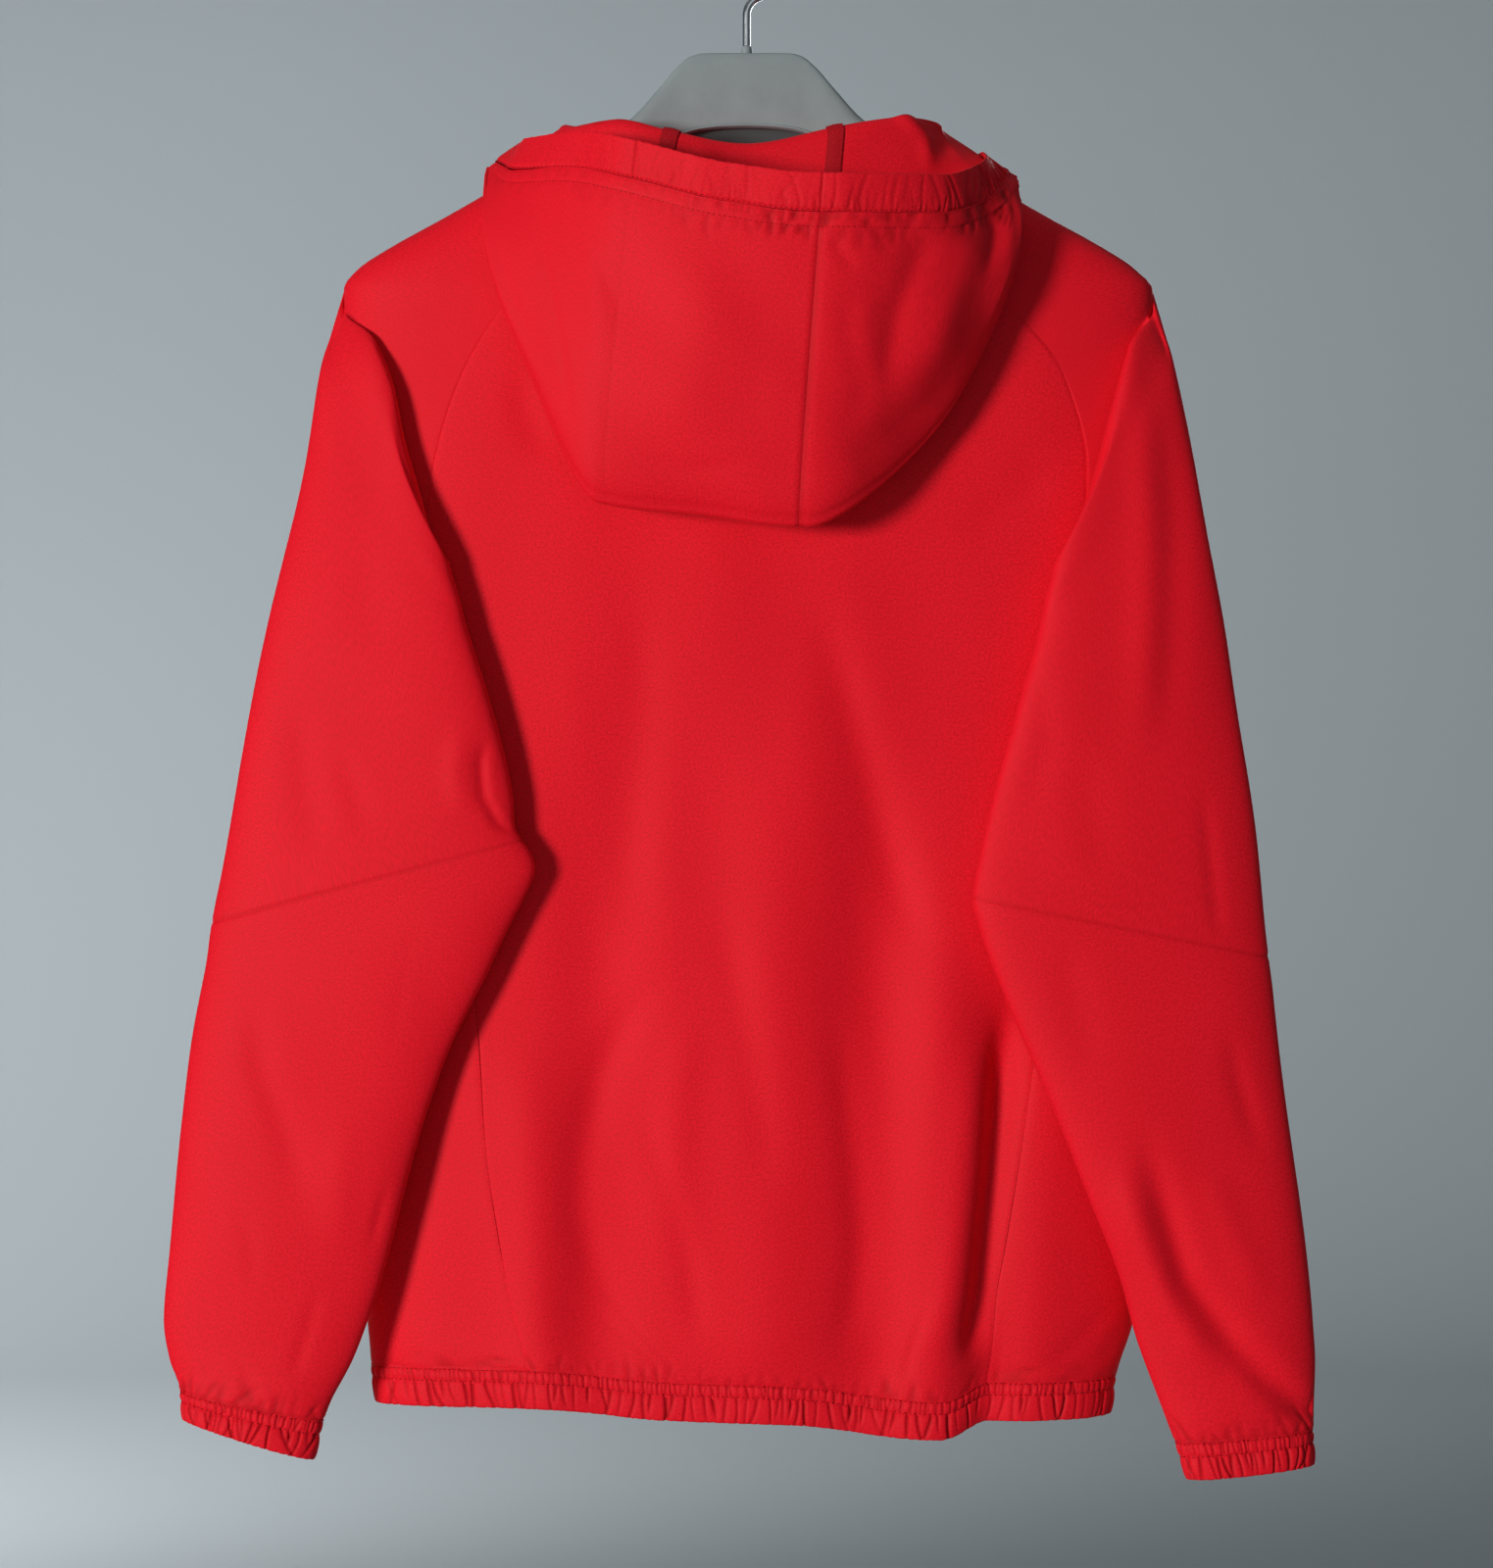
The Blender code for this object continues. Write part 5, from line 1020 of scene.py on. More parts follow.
def sew(name, points, outside, run, fall, painted_shade, finish, closed=False, wall=CLOTH):
    """A grid of cloth as an object, faces outwards, with its weave laid along `run` and `fall` in metres."""
    rows, columns = points.shape[:2]
    work = bmesh.new()
    bmesh.ops.create_grid(work, x_segments=columns - 1, y_segments=rows - 1, size=0.5)
    weave = work.loops.layers.uv.new("weave")
    # Painted shade: a share for each point by which its colour is darkened towards the crease colour
    depth = work.verts.layers.float.new("painted_shade")
    place = {}
    for vertex in work.verts:
        column = round((vertex.co.x + 0.5) * (columns - 1))
        row = round((vertex.co.y + 0.5) * (rows - 1))
        place[vertex.index] = (row, column)
    for vertex in work.verts:
        spot = place[vertex.index]
        vertex.co = points[spot]
        vertex[depth] = painted_shade[spot]
    for face in work.faces:
        for loop in face.loops:
            spot = place[loop.vert.index]
            loop[weave].uv = (run[spot], fall[spot])
    row, column, wanted = outside
    work.faces.ensure_lookup_table()
    work.normal_update()
    probe = work.faces[min(row, rows - 2) * (columns - 1) + min(column, columns - 2)]
    if probe.normal @ Vector(wanted) < 0:
        bmesh.ops.reverse_faces(work, faces=work.faces)
    if closed:
        bmesh.ops.remove_doubles(work, verts=work.verts, dist=1e-6)
    for edge in work.edges:
        edge.smooth = not edge.is_boundary
    made = placed(name, mesh_of(name, work), finish)
    if wall:
        walls = made.modifiers.new("wall", "SOLIDIFY")
        walls.thickness = wall
        walls.offset = 0
    return made


def dress(name, grid, normals, out, run, fall, finish, sides={}, closed=False, wall=CLOTH, drawn=0.0):
    """Moves a grid of cloth out along its normals, adds what is drawn in at its seams and rows of stitches, and makes
    the piece that stands for its node."""
    points = tucked(grid + normals * (out + drawn)[..., None], sides)
    row, column = len(grid) // 2, grid.shape[1] // 2
    # Painted shade where the cloth is drawn in at its seams and rows of stitches
    painted_shade = painted_shade_of(drawn) * np.ones_like(run)
    made = sew(name + "_cloth", points, (row, column, normals[row, column]), run, fall, painted_shade, finish, closed, wall)
    return fastened(made, name), points


def stitch_row(name, line, normals):
    """A row of short stitches laid on a line of points."""
    steps_long = np.linalg.norm(np.diff(line, axis=0), axis=1)
    run = np.concatenate([[0], np.cumsum(steps_long)])
    at = np.arange(STITCH_PITCH / 2, run[-1], STITCH_PITCH)
    work = bmesh.new()
    middle, ahead = read_line(at, run, line), read_line(at + STITCH_PITCH / 3, run, line)
    out = unit(read_line(at, run, normals))
    for here, there, up in zip(middle, ahead, out):
        way = Vector(there - here)
        if way.length < 1e-6:
            continue
        way.normalize()
        side = Vector(up).cross(way).normalized()
        top = way.cross(side)
        turn = Matrix((way, side, top)).transposed().to_4x4()
        size = Matrix.Diagonal((STITCH_LENGTH, STITCH_WIDTH, STITCH_WIDTH, 1))
        matrix = Matrix.Translation(Vector(here + up * STITCH_RISE)) @ turn @ size
        bmesh.ops.create_icosphere(work, subdivisions=1, radius=0.5, matrix=matrix)
    return fastened(placed(name, mesh_of(name, work), RED_THREAD))


def casing(name, mid, normals, kinds, seed, profile=CASING_PROFILE, rows=(("upper", UPPER_ROW), ("lower", LOWER_ROW)),
           strength=None, closed=False, seams=(), stitches=None):
    """A hem turned up round elastic: `mid` is its strip from the seam to the edge, read at a few rows. It is sewn
    with its rows of stitches."""
    shares = np.linspace(0, 1, len(mid))
    down = np.array([row.down for row in profile])
    out = np.array([row.out for row in profile])
    columns = mid.shape[1]
    low = np.clip(np.searchsorted(shares, down) - 1, 0, len(shares) - 2)
    part = ((down - shares[low]) / (shares[1] - shares[0]))[:, None, None]
    points = mid[low] * (1 - part) + mid[low + 1] * part
    faces = unit(normals[low] * (1 - part) + normals[low + 1] * part)
    run_line = lengths(mid[:1], 1)[0]
    height = np.linalg.norm(mid[-1] - mid[0], axis=-1)
    away = down[:, None] * height[None]
    row_at = [down[row] * height.mean() for _, row in rows]
    fine, long = kinds
    pressed = gathers(run_line, away, long, seed + 1, strength, row_at[-1])
    pressed += gathers(run_line, away, fine, seed, strength, *row_at)
    pressed += 0.5 * gathers(run_line, away, long, seed + 2, strength, 0.0, row_at[0] + PAST_ROW)
    if closed:
        ends = ease(np.minimum(run_line, run_line[-1] - run_line) / CLOSING)
        pressed = pressed * ends
    inside = (np.arange(len(down)) >= OUTSIDE_ROWS)[:, None]
    for place in seams:
        pressed -= CROSS_DIP * np.exp(-((run_line - place) / CROSS_WIDTH) ** 2)[None]
    lift = out[:, None] + np.where(inside, -INNER_SHARE * pressed, np.maximum(pressed, -DEEPEST_GATHER))
    lift = lift + rumpled(points, *CASING_RUMPLE, seed) * ~inside
    edge = ease((down - EDGE_FROM) / (1 - EDGE_FROM))[:, None]
    notches = gathers(run_line, np.zeros((1, columns)), long, seed + 1)[0] / long.depth
    scallop = edge * np.maximum(SCALLOP * notches, -DEEPEST_SCALLOP)
    way = unit(mid[-1] - mid[0])
    points = points + faces * lift[..., None] + way[None] * scallop[..., None]
    run = np.broadcast_to(run_line, points.shape[:2])
    fall = lengths(points, 0)
    # Painted shade in the gathers of the casing's outside
    painted_shade = painted_shade_of(pressed) * ~inside
    spot = (LOWER_ROW + 3, columns // 3, faces[LOWER_ROW + 3, columns // 3])
    made = fastened(sew(name + "_cloth", points, spot, run, fall, painted_shade, RED_CLOTH, closed, wall=0), name)
    for word, row in rows:
        stitch_row("_".join(filter(None, (stitches or name, word, "stitches"))), points[row], faces[row])
    return made


# ------------------------------------------------------------------ finishes

def node(tree, kind, **settings):
    made = tree.nodes.new(kind)
    for key, value in settings.items():
        if key in made.inputs:
            made.inputs[key].default_value = value
        else:
            setattr(made, key, value)
    return made


def finish(name, colour, roughness, metallic=0.0, **sockets):
    made = bpy.data.materials.new(name)
    made.use_nodes = True
    made.diffuse_color = (*colour, 1)
    shader = made.node_tree.nodes["Principled BSDF"]
    shader.inputs["Base Color"].default_value = (*colour, 1)
    shader.inputs["Roughness"].default_value = roughness
    shader.inputs["Metallic"].default_value = metallic
    for key, value in sockets.items():
        shader.inputs[key.replace("_", " ")].default_value = value
    return made, made.node_tree, shader


def noise_on(tree, where, stretch, detail=2.0, rough=0.5):
    """A noise read from coordinates stretched by so many bumps a metre each way."""
    place = node(tree, "ShaderNodeMapping", Scale=stretch)
    pattern = node(tree, "ShaderNodeTexNoise", Scale=1.0, Detail=detail, Roughness=rough)
    tree.links.new(where, place.inputs["Vector"])
    tree.links.new(place.outputs["Vector"], pattern.inputs["Vector"])
    return pattern.outputs["Fac"]


def ranged(tree, value, low, high, to_low, to_high):
    made = node(tree, "ShaderNodeMapRange")
    for index, number in enumerate((low, high, to_low, to_high), start=1):
        made.inputs[index].default_value = number
    tree.links.new(value, made.inputs[0])
    return made.outputs[0]


def times(tree, first, second, operation="MULTIPLY"):
    made = node(tree, "ShaderNodeMath", operation=operation)
    tree.links.new(first, made.inputs[0])
    tree.links.new(second, made.inputs[1])
    return made.outputs[0]


def tinted(tree, value, dark, bright):
    """A colour between two, by a value from 0 to 1."""
    made = node(tree, "ShaderNodeMix", data_type="RGBA")
    made.inputs[6].default_value = (*dark, 1)
    made.inputs[7].default_value = (*bright, 1)
    tree.links.new(value, made.inputs[0])
    return made.outputs[2]


def mottled(tree, shader, pattern, dark, bright):
    """The shader's colour wanders between two with a noise."""
    tree.links.new(tinted(tree, ranged(tree, pattern, 0.3, 0.7, 0, 1), dark, bright), shader.inputs["Base Color"])


def uneven(tree, shader, pattern, low, high):
    """The shader's roughness wanders between two values with a noise."""
    tree.links.new(ranged(tree, pattern, 0.3, 0.7, low, high), shader.inputs["Roughness"])


def raised(tree, shader, height, strength, distance):
    bumps = node(tree, "ShaderNodeBump", Strength=strength, Distance=distance)
    tree.links.new(height, bumps.inputs["Height"])
    tree.links.new(bumps.outputs["Normal"], shader.inputs["Normal"])


def toned(colour, share):
    return tuple(share * part for part in colour)


SHEEN = 0.06
SHEEN_TINT = (1.0, 0.22, 0.20, 1)
# Bumps a metre of the speckle in the weave, and of the slow change of tone across the whole object
SPECKLE, PATCHES = (760, 760, 1), (16, 16, 9)


def woven_cloth(name, painted_crease_shade, dark, bright, thread=0.00042, roughness=0.62, bump=0.16):
    """Plain matt windbreaker weave: uneven threads both ways, fine speckle, slow change of tone, and painted shade
    that darkens the colour in creases and gathers.
    """
    made, tree, shader = finish(name, bright, roughness, Sheen_Weight=SHEEN, Sheen_Roughness=0.4,
                                Sheen_Tint=SHEEN_TINT, Specular_IOR_Level=0.12)
    weave = node(tree, "ShaderNodeUVMap", uv_map="weave").outputs["UV"]
    whole = node(tree, "ShaderNodeTexCoord").outputs["Object"]
    warp = noise_on(tree, weave, (1 / thread, 0.22 / thread, 1), 1.0)
    weft = noise_on(tree, weave, (0.22 / thread, 1 / thread, 1), 1.0)
    threads = times(tree, warp, weft, "ADD")
    speckle = noise_on(tree, weave, SPECKLE, 3.0, 0.7)
    patches = noise_on(tree, whole, PATCHES, 3.0, 0.6)
    tone = times(tree, ranged(tree, speckle, 0.34, 0.66, 0.0, 1.0), ranged(tree, patches, 0.3, 0.7, 0.82, 1.12))
    # Painted shade: the colour is mixed towards the dark crease colour where the cloth is drawn in
    pressed = node(tree, "ShaderNodeAttribute", attribute_name="painted_shade").outputs["Fac"]
    shaded = node(tree, "ShaderNodeMix", data_type="RGBA")
    shaded.inputs[7].default_value = (*painted_crease_shade, 1)
    tree.links.new(pressed, shaded.inputs[0])
    tree.links.new(tinted(tree, tone, dark, bright), shaded.inputs[6])
    tree.links.new(shaded.outputs[2], shader.inputs["Base Color"])
    uneven(tree, shader, speckle, roughness - 0.05, roughness + 0.06)
    raised(tree, shader, threads, bump, 0.0004)
    return made


def moulded_plastic(name, colour, roughness=0.42):
    """Satin moulded plastic with a fine grain and slightly rubbed, uneven gloss."""
    made, tree, shader = finish(name, colour, roughness, Specular_IOR_Level=0.4)
    whole = node(tree, "ShaderNodeTexCoord").outputs["Object"]
    grain = noise_on(tree, whole, (2400, 2400, 2400), 2.0)
    rubbed = noise_on(tree, whole, (45, 45, 45), 4.0, 0.6)
    mottled(tree, shader, rubbed, toned(colour, 0.86), colour)
    uneven(tree, shader, rubbed, roughness + 0.06, roughness - 0.05)
    raised(tree, shader, grain, 0.10, 0.0002)
    return made


def bright_metal(name, colour, roughness, stretch):
    """Plated metal with faint drawing lines and rubbed patches."""
    made, tree, shader = finish(name, colour, roughness, 1.0)
    whole = node(tree, "ShaderNodeTexCoord").outputs["Object"]
    drawn = noise_on(tree, whole, stretch, 2.0)
    worn = noise_on(tree, whole, (160, 160, 160), 3.0)
    mottled(tree, shader, worn, toned(colour, 0.82), colour)
    uneven(tree, shader, drawn, roughness - 0.03, roughness + 0.08)
    return made


def plain_paint(name, colour):
    made, tree, shader = finish(name, colour, 0.9)
    whole = node(tree, "ShaderNodeTexCoord").outputs["Object"]
    tone = noise_on(tree, whole, (0.6, 0.6, 0.6), 1.0)
    mottled(tree, shader, tone, colour, toned(colour, 1.03))
    return made


# Cloths: the painted shade colour deep in a crease, then the darkest and brightest of the weave
RED_CLOTH = woven_cloth("red_windbreaker_cloth", (0.36, 0.002, 0.005), (0.64, 0.004, 0.012), (0.88, 0.008, 0.022))
RED_THREAD = woven_cloth("red_sewing_thread", (0.12, 0.001, 0.002), (0.15, 0.001, 0.003), (0.30, 0.002, 0.006),
                         thread=0.00018, roughness=0.5)
TAPE_CLOTH = woven_cloth("red_zip_tape", (0.20, 0.002, 0.004), (0.34, 0.003, 0.008), (0.52, 0.006, 0.014),
                         thread=0.0007, roughness=0.65, bump=0.4)
TEETH_PLASTIC = moulded_plastic("red_zip_teeth", (0.42, 0.006, 0.012), 0.35)
GREY_PLASTIC = moulded_plastic("grey_hanger_plastic", (0.268, 0.308, 0.310))
# Near-black plastic as painted shade for the hollow inside of the hanger, which lies in shadow
SHADED_PLASTIC = moulded_plastic("hanger_inside_painted_shade", (0.055, 0.060, 0.060))
CHROME = bright_metal("bright_hook_steel", (0.78, 0.80, 0.82), 0.14, (60, 60, 900))
ZIP_METAL = bright_metal("plated_zip_metal", (0.62, 0.62, 0.63), 0.24, (300, 300, 1200))


# ------------------------------------------------------------ pieces of cloth

def strip_of(grid, normals, fall, distance):
    """The line on a grid that lies one distance down each of its columns, with its normals."""
    line, out = [], []
    for column in range(grid.shape[1]):
        line.append(read_line(distance, fall[:, column], grid[:, column]))
        out.append(read_line(distance, fall[:, column], normals[:, column]))
    return np.array(line), unit(np.array(out))


# How deep a sewn edge turns in, elsewhere and at the elbow
SEAM_DIP, ELBOW_DIP = 0.0003, 0.0004


def sewn(run, fall, left=0, right=0, first=0, last=0, depth=SEAM_DIP):
    """How far the edges of a sewn piece turn in, for those of its sides that are sewn."""
    return (left * seam_dip(run, depth) + right * seam_dip(run[:, -1:] - run, depth)
            + first * seam_dip(fall, depth) + last * seam_dip(fall[-1:] - fall, depth))


# How far the edges reach under the next piece at a seam, at an elbow, and at a gathered one
SEAM_TUCK, ELBOW_TUCK, GATHER_TUCK = 0.0003, 0.0006, 0.0009
BODY_TUCKS = {"left": SEAM_TUCK, "right": SEAM_TUCK, "first": GATHER_TUCK, "last": SEAM_TUCK}
ZIP_STITCHES_IN = 0.0055


def make_back():
    across = steps(0.38, 0.0026, "seam", "seam")
    low, high = steps(0.446, 0.0032, "gather"), steps(0.211, 0.0032, None, "seam")
    down = np.concatenate([low * BACK_ARM, (BACK_ARM + high * (1 - BACK_ARM))[1:]])
    grid = read_grid(back_panel, across, down)
    normals = facing(grid, (0, -1, 0))
    run, fall = both_ways(grid)
    out = (creased("body", grid, normals) + rumpled(grid, *BODY_RUMPLE, seed=11)) * ease(fall / HEM_CALM)
    out += sewn(run, fall, 1, 1, 1, 1)
    return dress("back_panel", grid, normals, out, run, fall, RED_CLOTH, BODY_TUCKS,
                 drawn=gathers(run[0], fall, ABOVE_HEM, 12))[0]


def make_front(side, name):
    across = steps(0.30, 0.0034, "seam", "seam")
    down = steps(0.46, 0.0038, "gather", "seam")
    grid = read_grid(front_panel(side), across, down)
    normals = facing(grid, (0, 1, 0), (0.5, 0.7))
    run, fall = both_ways(grid)
    out = (creased("body", grid, normals) + rumpled(grid, *BODY_RUMPLE, seed=21 + side)) * ease(fall / HEM_CALM)
    out += sewn(run, fall, 1, 1, 1, 1)
    made, points = dress(name, grid, normals, out, run, fall, RED_CLOTH, dict(BODY_TUCKS, right=0),
                         drawn=gathers(run[0], fall, ABOVE_HEM, 24 + side))
    beside = strip_of(points.transpose(1, 0, 2)[::-1], normals.transpose(1, 0, 2)[::-1],
                      (run[:, -1:] - run).T[::-1], ZIP_STITCHES_IN)
    stitch_row(name + "_zip_stitches", *beside)
    return made


# Beside the fold of the upper sleeve: place round it, how far the hollow is drawn out to the fold, and how far up
FOLD_FILL = ((0.0, 1.0, 0.0050), (0.08, 1.0, 0.0045), (0.17, 1.0, 0.0022), (0.25, 1.0, 0.0006), (0.33, 0.8, 0.0),
             (0.42, 0.0, 0.0), (0.955, 0.0, 0.0), (1.0, 1.0, 0.0050))
# Where down the sleeve that ends, and how much of the way to the fold is taken in x, y and z
FOLD_END, FOLD_WAY = 0.41, (0.85, 0.0, 0.6)


def make_upper_sleeve(side, word):
    share = np.linspace(0, 1, 145)
    yoke = steps(0.09, 0.0036, "seam") * ARMHOLE_AT
    turn = np.linspace(ARMHOLE_AT, TURNED_AT, 13)[1:]
    tube = TURNED_AT + steps(0.30, 0.0037, None, "seam")[1:] * (0.9995 - TURNED_AT)
    down = np.concatenate([yoke, turn, tube])
    grid = read_grid(sleeve_upper(side), share, down)
    grid = rounded_fold(grid, share, down)
    normals = facing(grid, (0, -1, 0), (0.8, 0.18), True)
    run, fall = both_ways(grid)
    hanging = ease((down - TURNED_AT) / 0.10)[:, None]
    out = creased(word, grid, normals)
    out = out + rumpled(grid, *SLEEVE_RUMPLE, seed=31 + side) * ease((fall[-1:] - fall) / ELBOW_CALM)
    out = out * hanging + sewn(run, fall, first=1)
    return dress("sleeve_upper_" + word, grid, normals, out, run, fall, RED_CLOTH,
                 {"first": SEAM_TUCK, "last": ELBOW_TUCK}, True, drawn=sewn(run, fall, last=1, depth=ELBOW_DIP))[0]


def make_lower_sleeve(side, word):
    share = np.linspace(0, 1, 131)
    down = steps(0.32, 0.0034, "seam", "gather")
    surface = sleeve_stretch(side, ELBOW_RING + ELBOW_TRIM, CUFF_RING - RING_TRIM)
    grid = read_grid(surface, share, down)
    normals = facing(grid, (0, -1, 0), (0.5, 0.18), True)
    run, fall = both_ways(grid)
    to_cuff = fall[-1:] - fall
    out = creased(word, grid, normals) + rumpled(grid, *SLEEVE_RUMPLE, seed=41 + side) * ease(fall / ELBOW_CALM)
    drawn = gathers(run[-1], to_cuff, ABOVE_CUFF, 44 + side) + sewn(run, fall, first=1, last=1, depth=ELBOW_DIP)
    return dress("sleeve_lower_" + word, grid, normals, out * ease(to_cuff / CUFF_CALM), run, fall, RED_CLOTH,
                 {"first": ELBOW_TUCK, "last": GATHER_TUCK}, True, drawn=drawn)[0]


def make_cuff(side, word):
    surface = sleeve_stretch(side, CUFF_RING + RING_TRIM, LAST_RING)
    share, _ = even(lambda at: surface(at * 0.999999, np.zeros_like(at)), 361)
    mid = read_grid(surface, share, np.linspace(0, 1, 5))
    mid[:, -1] = mid[:, 0]
    normals = facing(mid, (0, -1, 0), (0.5, 0.18), True)
    return casing("cuff_" + word, mid, normals, (BETWEEN_ROWS, CUFF_GATHER), 51 + 4 * side, closed=True)


def make_hem():
    share, _ = even(lambda over: hem_band(over, np.zeros_like(over)), 1400)
    mid = read_grid(hem_band, share, np.linspace(0, 1, 5))
    normals = facing(mid, (0, -1, 0))
    return casing("hem_band", mid, normals, (BETWEEN_ROWS, HEM_GATHER), 61, stitches="hem")


HOOD_ALONG = np.concatenate([
    np.linspace(0, ROLL_FROM, 11)[:-1], np.linspace(ROLL_FROM, ROLL_TO, 10)[:-1],
    np.linspace(ROLL_TO, FOLD_FROM, 42)[:-1], np.linspace(FOLD_FROM, FOLD_TO, 9)[:-1],
])


# The hood's right side is laid down towards the back along this line: by a share of what lies beyond a depth, over
# a width on either side
HOOD_SIDE = ((0.149, -0.187), (0.145, -0.207), (0.138, -0.227), (0.127, -0.249), (0.109, -0.277), (0.090, -0.298),
             (0.069, -0.315), (0.047, -0.327))
HOOD_REST, REST_SHARE, REST_WIDTH = -0.034, 0.36, 0.021
# Rows of stitches at the hood's hem: their distance from it, how deep and wide they press, and where the gathers
# between them end and those below them begin
HOOD_ROW_AT, HOOD_ROW_DEPTH, HOOD_ROW_WIDTH = 0.0076, 0.0003, 0.0009
HOOD_ROWS_END, BELOW_ROWS = 0.0078, 0.0074
# The hood's right seam is pressed in, the left one is hardly seen
RIGHT_SEAM_DIP, LEFT_SEAM_DIP = 0.0008, 0.00012


def hood_stretch(at, along):
    """The hood up to the seam of its casing: beyond the bottom fold the rows end where the casing begins."""
    end = hood_hem_start(at, -SEAM_GAP)
    scaled = np.where(along > FOLD_TO, FOLD_TO + (along - FOLD_TO) / (1 - FOLD_TO) * (end - FOLD_TO), along)
    points = hood(at, scaled)
    distance, share = line_distance(HOOD_SIDE, points[:, 0], points[:, 2])
    low = np.exp(-(distance / REST_WIDTH) ** 2) * ease(share / 0.25) * ease((1 - share) / 0.4)
    points[:, 1] += REST_SHARE * low * np.maximum(HOOD_REST - points[:, 1], 0)
    return points


def hood_draw(at, run, table=HOOD_DRAW):
    keys, values = np.array(table).T
    return run, np.interp(at, keys, values)


def hood_push(grid, normals, down):
    """Creases and unevenness of the hood, the same for its panels and for the tapes behind their seams."""
    leaf = ease((down - FOLD_TO) / 0.08)[:, None]
    hanging = (np.abs(down - (ROLL_TO + FOLD_FROM) / 2) < 0.19)[:, None]
    out = creased("hood", grid, normals) * np.maximum(leaf, 0.8 * (down < 0.35)[:, None])
    bag = 0.4 * rumpled(grid, *HOOD_BAG_RUMPLE, seed=72) * hanging
    return out + rumpled(grid, *HOOD_LEAF_RUMPLE, seed=71) * leaf + bag


def make_hood_piece(name, first, last, columns):
    share, _ = even(lambda s: hood_stretch(mix(first, last, s), np.full_like(s, 0.85)), columns)
    at = mix(first, last, share)
    rise = FOLD_TO + steps(0.185, 0.0028, None, "gather") * (1 - FOLD_TO)
    down = np.concatenate([HOOD_ALONG, rise])
    grid = read_grid(hood_stretch, at, down)
    column = 0.5 if first < 0 < last else 0.1 if first > 0 else 0.9
    normals = facing(grid, (0, -1, 0), (0.75, column))
    run, fall = both_ways(grid)
    to_hem = fall[-1:] - fall
    draw = hood_draw(at, run[-1])
    out = hood_push(grid, normals, down)
    drawn = gathers(run[-1], to_hem, HOOD_ROWS, 73, draw, 0.0, HOOD_ROWS_END)
    drawn += gathers(run[-1], to_hem, UNDER_HOOD_HEM, 74, draw, BELOW_ROWS)
    out -= HOOD_ROW_DEPTH * np.exp(-((to_hem - HOOD_ROW_AT) / HOOD_ROW_WIDTH) ** 2)
    out += sewn(run, fall, first=1, last=1)
    for edge, away in ((first, run), (last, run[:, -1:] - run)):
        if abs(edge) < 1:
            drawn += seam_dip(away, RIGHT_SEAM_DIP if edge > 0 else LEFT_SEAM_DIP)
    made, points = dress(name, grid, normals, out, run, fall, RED_CLOTH,
                         {"first": SEAM_TUCK, "last": SEAM_TUCK}, drawn=drawn)
    row = strip_of(points[::-1], normals[::-1], to_hem[::-1], HOOD_ROW_AT)
    stitch_row(name + "_stitches", *row)
    return made


def make_hood_hem():
    share, _ = even(lambda s: hood_stretch(mix(-1, 1, s), np.ones_like(s)), 1150)

    def strip(over, down):
        at = mix(-1, 1, over)
        return hood(at, mix(hood_hem_start(at, SEAM_GAP), 1, down))
    mid = read_grid(strip, share, np.linspace(0, 1, 5))
    at, run = mix(-1, 1, share), lengths(mid[:1], 1)[0]
    return casing("hood_hem", mid, facing(mid, (0, -1, 0)), (HOOD_ROWS, HOOD_GATHER), 81, FLAT_PROFILE,
                  (("", UPPER_ROW),), hood_draw(at, run, RIM_DRAW), seams=np.interp((-HOOD_SEAM, HOOD_SEAM), at, run))


# Seam tapes of the hood: half their width, how far behind the cloth they lie, their wall and rounded edges
SEAM_TAPE_HALF, SEAM_TAPE_BEHIND, SEAM_TAPE_WALL, SEAM_TAPE_ROUND = 0.0045, 0.0013, 0.0003, 0.0003
STEP_ASIDE = 0.01


def make_hood_seam_tapes():
    """Narrow tapes that cover the hood's two long seams on its inside."""
    for side, word in zip(SIDES, ("left", "right")):
        down = np.concatenate([HOOD_ALONG[2:], np.linspace(FOLD_TO, 0.99, 60)])
        shift = np.linspace(-1, 1, 7)
        middle = np.full_like(down, side * HOOD_SEAM)
        here, beside = hood_stretch(middle, down), hood_stretch(middle + STEP_ASIDE, down)
        per_metre = STEP_ASIDE / np.maximum(np.linalg.norm(beside - here, axis=1), 1e-4)

        def surface(over, along):
            reach = np.interp(along, down, per_metre) * SEAM_TAPE_HALF
            return hood_stretch(side * HOOD_SEAM + over * reach, along)
        grid = read_grid(surface, shift, down)
        normals = facing(grid, (0, -1, 0), (0.85, 0.5))
        run, fall = both_ways(grid)
        edge = ease(1.0 - 0.9 * np.abs(shift))[None] * SEAM_TAPE_ROUND
        out = hood_push(grid, normals, down) - SEAM_TAPE_BEHIND - edge
        points = grid + normals * out[..., None]
        tape = sew(f"hood_{word}_seam_tape", points, (80, 3, -normals[80, 3]), run, fall, np.zeros_like(run),
                   TAPE_CLOTH, wall=SEAM_TAPE_WALL)
        fastened(tape)


# ------------------------------------------------------------------------ zip

TOOTH_PITCH, TOOTH_SIZE, TOOTH_OUT, TOOTH_ROUNDING = 0.0024, (0.0030, 0.0026, 0.0010), 0.0011, 0.00025
# The teeth stop short of the slider and the foot; the tape's inner edge is a raised bead
TEETH_SHORT, BEAD, TAPE_WALL = 0.004, 0.00035, 0.0008
METAL_ROUNDING = 0.0003


